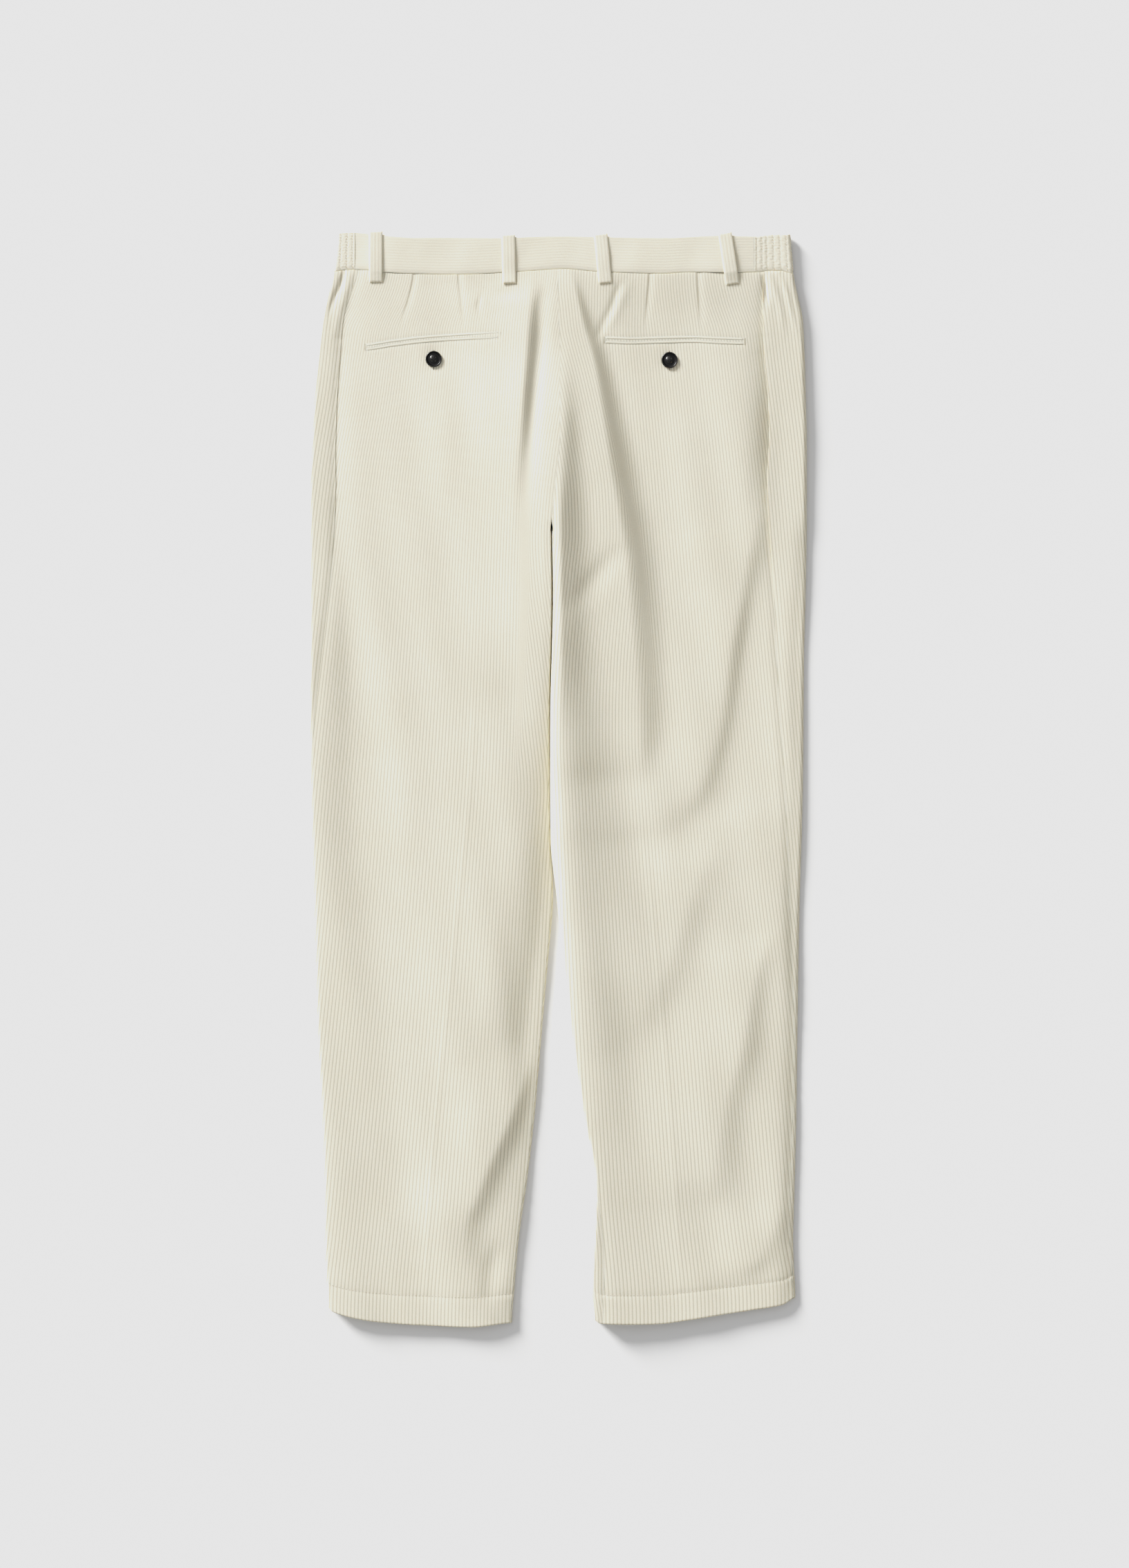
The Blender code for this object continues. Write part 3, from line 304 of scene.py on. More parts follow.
# The button's upper side, (radius, height): the middle swells, a channel runs round it, the rim stands up
BUTTON_TOP = (
    (0.0, 3.2), (1.3, 3.15), (1.9, 2.98), (2.6, 2.6), (3.6, 1.94), (4.8, 1.25), (5.3, 1.15), (5.8, 1.4),
    (6.5, 2.4), (7.0, 2.8), (7.5, 2.6), (7.8, 1.8),
)
BUTTON_RINGS = ((0, 7.2, 40), (7.25, BUTTON_RADIUS, 14))  # (from, to, count)
BUTTON_SIDE = ((0.0, 1.1), (0.3, 0.35), (1.0, 0.0))  # (inside its edge, height)
BUTTONS = {"pocket_button_left": (-120.0, 405.5), "pocket_button_right": (108.0, 405.0)}

# The shirred sides of the waistband start on top, run round the side and end underneath
ELASTIC_START = {"left": -196.0, "right": 189.5}
ELASTIC_END = {"left": -150.0, "right": 150.0}
ELASTIC_RIB = 0.16  # how far the cloth puffs out between two rows of shirring
# Rows of shirring on top, by distance from the start, and the pitch of those that follow
SHIRRING = {"left": (2.6, 8.4), "right": (2.8, 8.1, 12.8)}
SHIRRING_PITCH = 6.6
SHIRRING_ROOM = 1.5  # pitches that the last row leaves before the end


# ---------------------------------------------------------------- curves through the tables


def through(stations, at):
    """A smooth curve through (place, value) stations, held level past its ends. It never overshoots."""
    order = sorted(stations)
    place = np.array([s[0] for s in order], float)
    value = np.array([s[1] for s in order], float)
    step = np.diff(place)
    slope = np.diff(value) / step
    tangent = np.zeros(len(place))
    for i in range(1, len(place) - 1):
        if slope[i - 1] * slope[i] > 0:
            before = 2 * step[i] + step[i - 1]
            after = step[i] + 2 * step[i - 1]
            tangent[i] = (before + after) / (before / slope[i - 1] + after / slope[i])
    at = np.clip(np.asarray(at, float), place[0], place[-1])
    i = np.clip(np.searchsorted(place, at, side="right") - 1, 0, len(step) - 1)
    t = (at - place[i]) / step[i]
    return (
        (2 * t**3 - 3 * t**2 + 1) * value[i]
        + (t**3 - 2 * t**2 + t) * step[i] * tangent[i]
        + (3 * t**2 - 2 * t**3) * value[i + 1]
        + (t**3 - t**2) * step[i] * tangent[i + 1]
    )


def ease(t):
    """0 up to t = 0, 1 from t = 1, smooth between."""
    t = np.clip(t, 0.0, 1.0)
    return t * t * (3 - 2 * t)


def level(stations, at):
    """What through gives at one place, as a plain number."""
    return float(through(stations, at))


def column(table, k, y):
    """Column k at y of a table whose first column is y."""
    return through([(row[0], row[k]) for row in table], y)


def within(table, y):
    """Whether y lies between the first and last rows of such a table."""
    ys = [row[0] for row in table]
    return (y >= min(ys)) & (y <= max(ys))


def bell(away, reach):
    """1 where away is 0, falling to 0 at about twice the reach on either side."""
    return np.exp(-((away / reach) ** 2))


def lopsided(away, left, right):
    """A bell with one reach to its left and another to its right."""
    return bell(away, np.where(away < 0, left, right))


def unit(vectors):
    """Rows of length 1."""
    return vectors / np.linalg.norm(vectors, axis=1)[:, None]


def run(*coordinates):
    """The distance along a line of points, from 0 at its first."""
    steps = np.linalg.norm(np.diff(np.stack(coordinates, axis=-1), axis=0), axis=1)
    return np.concatenate([[0], np.cumsum(steps)])


def section(name, y):
    """A column of SECTIONS at y."""
    return column(SECTIONS["rows"], SECTIONS["columns"].index(name), y)


def fold_height(x, y):
    """The folds' height at points of the back. A fold flat to its left stays level before it falls."""
    total = np.zeros(np.broadcast(x, y).shape)
    gap = (section("left_inner", y) + section("right_inner", y)) / 2
    for name, stations in FOLDS.items():
        crest, height, left, right = (column(stations, k, y) for k in (1, 2, 3, 4))
        away = x - crest
        reach = np.where(away < 0, left, right)
        power = np.where(away < 0, FLAT_POWER if name in FLAT_TO_THE_LEFT else BELL_POWER, BELL_POWER)
        inside = within(stations, y) & ((x > gap) | (name not in ON_RIGHT_LEG))
        total = total + np.where(inside, height * np.exp(-(np.abs(away / reach) ** power)), 0.0)
    return total


def floor_at(height, lowest):
    """Height kept above lowest, with a soft corner."""
    return lowest + FLOOR_SOFTNESS * np.logaddexp(0.0, (height - lowest) / FLOOR_SOFTNESS)


def quiet_top(x, y):
    """Height of the back's outside, folds included, before seams and edges."""
    seat = ease((y - CROTCH_Y) / LOWEST_BLEND + 0.5)
    lowest = LOWEST_LEG + (LOWEST_SEAT - LOWEST_LEG) * seat
    return floor_at(through(QUIET_HEIGHT, y) + fold_height(x, y), lowest)


# ---------------------------------------------------------------- one leg's section


class Leg:
    """The section across one leg. Its outward direction is -1 on the left and +1 on the right."""

    def __init__(self, side):
        self.side = side
        self.out = -1.0 if side == "left" else 1.0

    def outer(self, y):
        return section(f"{self.side}_outer", y)

    def inner(self, y):
        return section(f"{self.side}_inner", y)

    def side_seam(self, y):
        return self.outer(y) - self.out * section(f"{self.side}_wrap", y)

    def split(self, y):
        """0 at the seat, where the panels meet at the centre seam, and 1 where the leg has an inner edge."""
        return ease((CROTCH_Y + CROTCH_BLEND / 2 - y) / CROTCH_BLEND)

    def inseam(self, y):
        return self.inner(y) + self.out * through(INSEAM_WRAP[self.side], y) * self.split(y)

    def seams(self, y):
        """The side seam and the inseam, and how strongly each draws the cloth in."""
        return (self.side_seam(y), 1.0), (self.inseam(y), FLAT_SEAM + (1 - FLAT_SEAM) * self.split(y))

    def underside(self, x, y):
        """Height of the front panel's outside where it lies on the surface, lifted over loops and fly."""
        height = BAND_UNDERSIDE * ease((y - BAND_RAMP_Y) / BAND_RAMP) + np.zeros(np.shape(x))
        if self.side == "right":
            lap = ease((FLY_LAP + LAP_RAMP - (x - self.inner(y))) / LAP_RAMP)
            height = height + (CLOTH + SEAM_GAP) * lap * ease((y - FLY_END_Y) / LAP_RISE + 1)
        return height

    def roll_middle(self, x, y):
        """Height of the middle of an edge's roll, whose top starts at x."""
        return (quiet_top(x, y) + self.underside(x, y)) / 2

    def on_top(self, x, y, lift):
        """Height of the outside on top, with lift added, sunk at the seams and rolled at the edges."""
        seams = np.zeros(np.broadcast(x, y).shape)
        for seam, share in self.seams(y):
            seams = seams + share * lopsided(x - seam, SEAM_REACH, 2 * SEAM_REACH)
        height = quiet_top(x, y) + lift - SEAM_SINK * seams
        for edge, turn, share, radius in (
            (self.outer(y), -self.out, 1.0, EDGE_RADIUS),
            (self.inner(y), self.out, self.split(y), through(INNER_RADIUS, y)),
        ):
            depth = np.clip(turn * (x - edge) / radius, 0, 1)
            arc = 1 - share * (1 - np.sqrt(1 - (1 - depth) ** 2))
            middle = self.roll_middle(edge + turn * radius, y)
            height = middle + (height - middle) * arc
        return height

    def back_top(self, x, y):
        """Height of the back panel's outside, which dips under the pocket's edge."""
        near = bell(x - self.side_seam(y), MOUTH_REACH[self.side])
        return self.on_top(x, y, -through(POCKET_MOUTH[self.side], y) * near)

    def wrap_top(self, x, y):
        """Height of the front panel's outside where it has come up over the hip."""
        near = bell(x - self.side_seam(y), LIP_REACH)
        return self.on_top(x, y, LIP_SHARE[self.side] * through(POCKET_MOUTH[self.side], y) * near)

    def waist_line(self, x, under):
        """Height of the waist seam. Underneath, it runs straight from the side to the centre."""
        roll_x = self.outer(WAIST_Y) - self.out * EDGE_RADIUS
        share = np.clip(x / roll_x, 0, 1)
        straight = (1 - share) * through(WAIST_SEAM, 0.0) + share * through(WAIST_SEAM, roll_x)
        inside = under & (self.out * (roll_x - x) > 0)
        return np.where(inside, straight, through(WAIST_SEAM, x))

    def place(self, x, y, under):
        """The real y of a point of a nominal row, which follows the waist seam and the hem."""
        waist = self.waist_line(x, under) - SEAM_GAP / 2 - WAIST_Y
        hem = through(HEM_LINE[self.side], x) - HEM_Y
        near_waist = ease((y - WAIST_FOLLOW_Y) / (WAIST_Y - WAIST_FOLLOW_Y))
        near_hem = ease((HEM_FOLLOW_Y - y) / (HEM_FOLLOW_Y - HEM_Y))
        return y + near_waist * waist + near_hem * hem


def roll_angle(depth, radius):
    """Angle round a roll, from 0 on top, of the place a depth inside its edge."""
    return math.asin(1 - min(max(depth / radius, 0.0), 1.0))


# ---------------------------------------------------------------- the ribs of the corduroy

RIB_PITCH = 3.175  # eight ribs to the inch
RIB_DEPTH = 0.08
RIB_ROUNDNESS = 0.9
MEAN_GROOVE = 0.45  # the tone, as painted groove shade, of cloth whose ribs are squeezed together
RIB_SAMPLES = (0.0, 0.17, 0.38, 0.62, 0.83)  # columns of a rib, from one groove to the next
SEAM_CREASE = 0.22  # how far the cloth turns in at a seam
SEAM_FALL = 4.0  # reach of what a seam sinks to its left, where it falls away from the light
SEAM_RISE = 5.0  # and to its right
FLAT_SEAM = 0.25  # share of this at the seam of the seat, which is pressed open
TURN_IN = 1.3  # depth of the turned edge at a seam
TURN_OVER = 0.22  # how far a turned edge leans over its gap
NO_LENGTH = 1e-6
HEM_INSIDE = 28.0  # how far the hem is turned up inside
HEM_ROLL = 0.7  # how far it rolls past its last row, at these depths
HEM_ROLL_DEPTHS = (0.5, 1.9)
ROLL_STEPS = 22  # points round a leg's inner edge, on its top beside that, underneath, and over the hip
TOP_STEPS = 10
UNDER_STEPS = 40
WRAP_STEPS = 30
SEAT_ROW_STEP = 4.5
LEG_ROW_STEP = 7.0
SEAT_ROWS_PAST = 20  # the seat's rows go on this far below the crotch
BACK_STEPS = 2  # points to a millimetre, across the back
POCKET_Y = 424.0  # nominal row of the back pockets' mouths, which the rows near it follow
POCKET_FOLLOW = 34.0
POCKET_END_EASE = 16.0
FINE_ROWS = (
    489.6, 488.6, 487.2, 485.0,  # the waist seam
    431.0, 429.2, 428.3, 427.6, 426.0, 422.0, 420.4, 419.7, 418.8, 417.0,  # the back pocket's jets
    -499.6, -500.5, -501.0, -501.5, -502.4, -505.0,  # the hem's stitching
    -526.0, -528.0,
)
ROW_CLEARING = 1.6  # ordinary rows this near a fine one are left out

# Two lines that ribs follow down each back panel, (y, outer x, inner x), a fixed number of ribs apart
GRAIN = {
    "left": (
        (490, -141, -36), (430, -149, -41), (380, -155, -44), (300, -168, -50), (200, -180, -55),
        (100, -190, -58), (0, -200, -62), (-100, -209, -69), (-250, -225, -79), (-400, -241, -91),
        (-529, -252, -101),
    ),
    "right": (
        (490, 147, 44), (430, 154, 49), (380, 160, 53), (300, 170, 60), (200, 180, 68), (100, 190, 76),
        (0, 200, 83), (-100, 211, 90), (-250, 231, 102), (-400, 246, 113), (-529, 260, 124),
    ),
}

# Places where the panel takes cloth in: (y, x, ribs taken in). The ribs on the bent side run out into them
TUCKS = {
    "left": (
        {"bends": "left", "width": 0.8, "stations": ((495, -140, 2.9), (462, -145, 1.8), (434, -153, 0))},
        {"bends": "left", "width": 0.8, "stations": ((495, -96, 2.4), (462, -93.5, 1.4), (430, -91, 0))},
        {"bends": "right", "width": 2.5, "stations": (
            (495, -15, 0), (455, -18, 1.4), (400, -24, 4), (355, -27, 6.4), (310, -29, 8.4),
            (265, -31, 9.8), (235, -32, 10.2), (200, -32, 9.4), (130, -34, 6), (50, -38, 2.4),
            (-20, -44, 0),
        )},
    ),
    "right": (
        {"bends": "left", "width": 0.8, "stations": ((495, 88.5, 2.4), (462, 86.5, 1.4), (428, 84, 0))},
        {"bends": "right", "width": 0.8, "stations": ((495, 135, 2.9), (462, 136.5, 1.8), (428, 138, 0))},
        {"bends": "left", "width": 3.0, "stations": (
            (490, 22, 0), (430, 32, 2.6), (385, 44, 5.6), (330, 57, 8.2), (280, 67, 9.6), (240, 75, 9.2),
            (198, 81, 7), (150, 86, 4.2), (110, 90, 2.2), (60, 92, 0.6), (20, 92, 0),
        )},
    ),
}

# Smaller creases, as FOLDS: (y, x, height, reach to the left, reach to the right)
CREASES = {
    "left_pressed": (
        (100, -81, 0, 3, 3), (40, -82, 0.14, 3, 3), (-136, -98, 0.16, 3, 3), (-450, -126, 0.16, 3, 3),
        (-500, -127, 0.1, 3, 3),
    ),
    "right_pressed": (
        (20, 75, 0, 3, 3), (-114, 90, 0.14, 3, 3), (-390, 113, 0.16, 3, 3), (-500, 118, 0.1, 3, 3),
    ),
    "dart_left_outer": ((490, -139.5, -0.5, 1.1, 4), (462, -145, -0.4, 1.1, 4), (434, -153, 0, 1.1, 4)),
    "dart_left_inner": ((490, -96, -0.5, 1.1, 4), (462, -93.5, -0.45, 1.1, 4), (430, -91, 0, 1.1, 4)),
    "dart_right_inner": ((490, 88.5, -0.6, 1.1, 4), (462, 86.5, -0.5, 1.1, 4), (428, 84, 0, 1.1, 4)),
    "dart_right_outer": ((490, 135, -0.6, 1.1, 4), (462, 136.5, -0.5, 1.1, 4), (428, 138, 0, 1.1, 4)),
    "left_button_dimple": ((425, -120, 0, 10, 10), (405.5, -120, -0.9, 9, 9), (386, -120, 0, 10, 10)),
    "right_button_dimple": ((425, 108, 0, 10, 10), (405, 108, -0.9, 9, 9), (386, 108, 0, 10, 10)),
    "left_hip_notch": (
        (492, -207, -0.5, 2, 2), (480, -209, -1.5, 2.4, 2.4), (463, -217, -1.1, 2.5, 3),
        (440, -222, 0, 3, 3),
    ),
    "left_hip_ridge": (
        (488, -201, 0.3, 4, 4), (470, -205, 0.7, 4, 5), (445, -212, 0.5, 4, 5), (415, -219, 0, 4, 5),
    ),
    "right_hip_notch": (
        (486, 199, -0.8, 2, 2), (474, 200.5, -1.9, 2, 2.6), (465, 201, -1.2, 2, 3), (450, 199, 0, 2, 3),
    ),
    "right_hip_ridge_a": (
        (488, 205, 0.3, 3, 3), (474, 209, 0.8, 3, 4), (455, 215, 0.7, 3, 4), (420, 218, 0, 3, 4),
    ),
    "right_hip_ridge_b": (
        (489, 212, 0.4, 3, 2), (478, 219, 0.9, 3, 2.4), (450, 226, 0.7, 3, 2.5), (420, 233, 0, 3, 3),
    ),
    "pocket_end_a": (
        (482, 62, 0, 4, 4), (474, 58, -0.9, 4, 3.5), (455, 52, -1, 4, 3.5), (437, 43, -0.8, 4, 4),
        (420, 38, 0, 4, 4),
    ),
    "pocket_end_b": ((486, 70, 0, 6, 5), (470, 64, 0.4, 6, 5), (448, 55, 0.4, 6, 5), (430, 47, 0, 6, 5)),
    "loop_dimple": ((476, -48, 0, 12, 12), (470, -49, -0.7, 13, 13), (462, -50, 0, 13, 13)),
    "dart_wrinkle": ((474, -73, 0, 2.5, 2.5), (458, -77, -0.6, 2.5, 2.5), (440, -71, 0, 2.5, 2.5)),
    "roll_by_gap": (
        (310, 1.5, 0, 4, 5), (250, 1.5, 0.8, 4, 5), (180, 2, 1.2, 4, 5), (100, 2, 0.8, 4, 6),
        (20, 2, 0, 4, 6),
    ),
    "left_knee_ripple": (
        (40, -160, 0, 16, 16), (-30, -150, 0.7, 18, 16), (-90, -146, 0.6, 18, 16), (-160, -140, 0, 18, 16),
    ),
    "left_calf_ripple": (
        (-150, -60, 0, 14, 12), (-220, -52, 0.7, 16, 12), (-280, -50, 0.5, 16, 12), (-330, -52, 0, 16, 12),
    ),
    "left_seat_ripple": (
        (400, -110, 0, 20, 16), (330, -112, 0.6, 22, 16), (250, -118, 0.5, 22, 18), (160, -124, 0, 22, 18),
    ),
    "right_seat_ripple": (
        (400, 120, 0, 18, 20), (320, 124, 0.7, 18, 22), (240, 132, 0.6, 18, 22), (150, 140, 0, 18, 22),
    ),
}

# Long soft waves that no cloth is without: (wavelength across, wavelength along, height, phase)
RIPPLES = ((71, 190, 0.22, 0.3), (47, 260, 0.16, 2.1), (113, 137, 0.20, 4.4))

# Seams pucker unevenly: (wavelength, share)
PUCKERS = ((13.0, 0.5), (21.0, 0.3), (8.3, 0.2))
PUCKER_HEIGHT = 0.2
PUCKER_REACH = 7.0
INSEAM_SHIFT = 40.0  # the inseam puckers as the side seam does this much further up

HEM_STITCH_DENT = 0.22
HEM_STITCH_REACH = 1.5
WAIST_TUCK = 0.1  # the panels' upper edge turns in under the waistband
WAIST_TUCK_REACH = 1.3
JET_DITCH = 0.12  # the stitching sinks the cloth round the pocket's jets
JET_DITCH_REACH = 0.7
JET_DITCH_AWAY = 0.3  # from the jets' edges
JET_DITCH_END = 1.5

# Waistband
BAND_RIB_PITCH = 2.65
BAND_RIB_DEPTH = 0.06
BAND_STATION = 5.0
BAND_END = 0.15  # distance of the last frame but one from a band's end
BAND_STEPS = (70, 18, 12)  # points up a band's face, over its fold and down its facing
BAND_MIDDLE = 17.0
BAND_FACING = 26.0  # depth of the cloth turned down inside
BAND_EDGE_DROP = 0.65  # how far its lower edge turns in
BAND_EDGE_REACH = 2.0
BAND_GROOVE_SHADE = 0.4  # how much of the painted groove shade shows on the band, whose ribs are flattened
# how much of the painted groove shade shows on a loop's ribs
LOOP_GROOVE_SHADE = 0.4
PLAIN_SHADE = 0.55  # the tone of a strip without ribs, a mean of the rib tops and the painted groove shade
LOOP_SHADE = 0.85  # and of a loop's ribs
SIDE_PRESS = 0.25  # how far the waistband sinks at its two sides
SIDE_PRESS_FROM = 150.0
SIDE_PRESS_LENGTH = 62.0
# Slight unevenness of the band: (wavelength, height, phase)
BAND_WAVES = ((83, 0.22, 1.0), (41, 0.12, 2.6), (23, 0.06, 0.4))
ELASTIC_STATION = 0.55
ELASTIC_TUCK = 0.3  # depth of the shirring's stitching
TUCK_REACH = 0.8
TUCK_FADE = 2  # length over which it starts at the band's foot
PUFF_FULLNESS = 0.7
PUFF_AT_TOP = 0.35  # share of a puff that is left at the band's upper edge
STITCH_MEAN = 0.55  # a tuck's mean depth as a share of its deepest, and how far its stitches swing it
STITCH_SHARE = 0.45
ELASTIC_ENDS = 4.0  # length over which the puffs fade to the band's edges
# The gathered cloth crumples: (wavelength up the band, wavelength along it, height, phase)
CRUMPLES = ((5.3, 5.2, 0.045, 0.6), (3.1, 7.9, 0.035, 2.9), (9.4, 3.7, 0.04, 4.6))

# Loops and jets
LOOP_RIBS = 4
LOOP_RIB_DEPTH = 0.1
LOOP_STATIONS = 40
LOOP_SMOOTHING = 7  # stations over which a loop evens out what it lies on
LOOP_NARROWING = 0.05
BAND_STARTS = 1.5  # a loop steps up to the band this far below the seam
BELOW_WAIST = 3.0
STRIP_CROWN = 0.6  # how much thinner a strip is at its sides than in its middle
CROWN_POWERS = (2, 4)  # how square the crown is, on a plain strip and on a ribbed one
RIB_FADE = 8  # how squarely a strip's ribs end at its sides
STRIP_STEPS = (15, 12, 9)  # points over a plain strip, over each rib of a ribbed one, and underneath
ROUND_END = 0.02  # least share of its end's radius at which a strip starts
JET_STATIONS = 90
JET_SINK = 1.5  # the seam pulls the jets down into the panel
JET_OPENS = {  # how far the slit gapes: (x, millimetres)
    "left": ((-186, 0.5), (-150, 0.2), (-118, 0.1), (-92, 0.7), (-68, 1.3), (-57, 0.6), (-56, 0.2)),
    "right": ((45, 0.3), (60, 0.5), (100, 0.2), (140, 0.3), (170, 0.7), (178, 0.6), (180, 0.2)),
}

# Thread
STITCH_RADIUS = 0.22
STITCH_SIDES = 6
HEM_STITCH = (2.4, 0.8)  # length and space
SHIRRING_STITCH = (1.7, 0.95)
HEM_MARGINS = (2, 1)  # from the seams to the first stitch and the last
HEM_BED = 0.1  # how far a stitch sinks into the cloth
SHIRRING_MARGIN = 1.5
SHIRRING_BED = 0.7  # the same, as a share of the tuck
TACK_STITCHES = 7
TACK_HALF = 0.55
TACK_AWAY = 0.6  # from the jets' ends
THREAD_SHADE = 0.55
# A stitch from its start to its end: (share of its length, height, thickness), in stitch radii
STITCH_FORM = ((0.0, -0.9, 0.6), (0.16, 0.2, 1.0), (0.5, 0.6, 1.05), (0.84, 0.2, 1.0), (1.0, -0.9, 0.6))
BUTTONHOLE_LENGTH = 19.0
BUTTONHOLE_DROP = 1.0  # its middle lies this far below the button's
BUTTONHOLE_STITCHES = 8
BUTTONHOLE_OVERLAP = 0.5


# ---------------------------------------------------------------- shape of the cloth


def creases(x, y):
    """Height of the smaller creases."""
    total = np.zeros(np.broadcast(x, y).shape)
    for stations in CREASES.values():
        if within(stations, y):
            crest, height, left, right = (column(stations, k, y) for k in (1, 2, 3, 4))
            total = total + height * lopsided(x - crest, left, right)
    for across, along, height, phase in RIPPLES:
        total = total + height * np.sin(2 * np.pi * (x / across + y / along) + phase)
    return total


def pucker(y):
    """-1 to 1, how a seam draws up along its length."""
    return sum(share * np.sin(2 * np.pi * y / wavelength + wavelength) for wavelength, share in PUCKERS)


def groove(ribs):
    """1 in the groove between two ribs and 0 on the top of a rib. ribs counts ribs across the cloth."""
    return 1.0 - np.abs(np.sin(np.pi * ribs)) ** RIB_ROUNDNESS


def rib_lines(low, high):
    """The places of the columns, in ribs, that cover low to high."""
    whole = np.arange(math.floor(low) - 1, math.ceil(high) + 2)
    return (whole[:, None] + np.array(RIB_SAMPLES)[None, :]).reshape(-1)


def grain(side, x, y):
    """How many ribs lie between the grain's outer line and x, increasing with x."""
    rows = GRAIN[side]
    outer, inner = float(column(rows, 1, y)), float(column(rows, 2, y))
    reference = next(row for row in rows if row[0] == 0)
    apart = abs(reference[2] - reference[1]) / RIB_PITCH
    low, high = (outer, inner) if side == "left" else (inner, outer)
    ribs = (x - low) / (high - low) * apart
    for tuck in TUCKS[side]:
        if within(tuck["stations"], y):
            place, taken = (float(column(tuck["stations"], k, y)) for k in (1, 2))
            past = 0.5 + 0.5 * np.tanh((x - place) / tuck["width"])
            ribs = ribs + taken * (past - (1.0 if tuck["bends"] == "left" else 0.0))
    return ribs


def nominal_rows():
    """Rows of the panels from the waist seam to the hem, finer where seams and stitching cross them."""
    seat = np.arange(WAIST_Y, CROTCH_Y - SEAT_ROWS_PAST, -SEAT_ROW_STEP)
    leg = np.linspace(seat[-1] - SEAT_ROW_STEP, HEM_Y, int((seat[-1] - HEM_Y) / LEG_ROW_STEP))
    plain = [y for y in (*seat, *leg) if min(abs(y - fine) for fine in FINE_ROWS) > ROW_CLEARING]
    ends = [y for y in (WAIST_Y, HEM_Y) if y not in plain]
    return np.array(sorted([*plain, *ends, *FINE_ROWS], reverse=True))


def pocket_shift(side, x, y):
    """How far the rows near a back pocket are moved along the leg, to follow its mouth."""
    line = POCKET_LINES[side]
    beyond = np.maximum(line[0][0] - x, x - line[-1][0])
    share = 1 - ease(beyond / POCKET_END_EASE)
    return (through(line, x) - POCKET_Y) * share * ease(1 - abs(y - POCKET_Y) / POCKET_FOLLOW)


def jet_ditch(side, x, y):
    """The cloth is sunk along the outer edges of the pocket's jets."""
    line = POCKET_LINES[side]
    left, right = (ease(past / JET_DITCH_END + 1) for past in (x - line[0][0], line[-1][0] - x))
    away = abs(y - POCKET_Y) - (WELT_HEIGHT + WELT_SLIT / 2 + JET_DITCH_AWAY)
    return -JET_DITCH * left * right * bell(away, JET_DITCH_REACH)


def seam_detail(leg, x, y):
    """The stitching's work: the cloth turns in at seams and waist, puckers, and is drawn in at the hem."""
    total = np.zeros(np.shape(x))
    for (seam, share), shift in zip(leg.seams(y), (0.0, INSEAM_SHIFT)):
        total = total - share * SEAM_CREASE * lopsided(x - seam, SEAM_FALL, SEAM_RISE)
        total = total + share * PUCKER_HEIGHT * pucker(y + shift) * bell(x - seam, PUCKER_REACH)
    total = total - WAIST_TUCK * bell(WAIST_Y - y, WAIST_TUCK_REACH)
    return total - HEM_STITCH_DENT * bell(y - HEM_Y - HEM_INSIDE, HEM_STITCH_REACH)


def back_height(leg, x, y):
    """Height of the tops of the ribs on a back panel."""
    return leg.back_top(x, y) + creases(x, y) + seam_detail(leg, x, y) + jet_ditch(leg.side, x, y)


def height_at(leg, x, y):
    """The same at one place."""
    return float(back_height(leg, np.array([x]), y)[0])


# ---------------------------------------------------------------- sheets of ribs


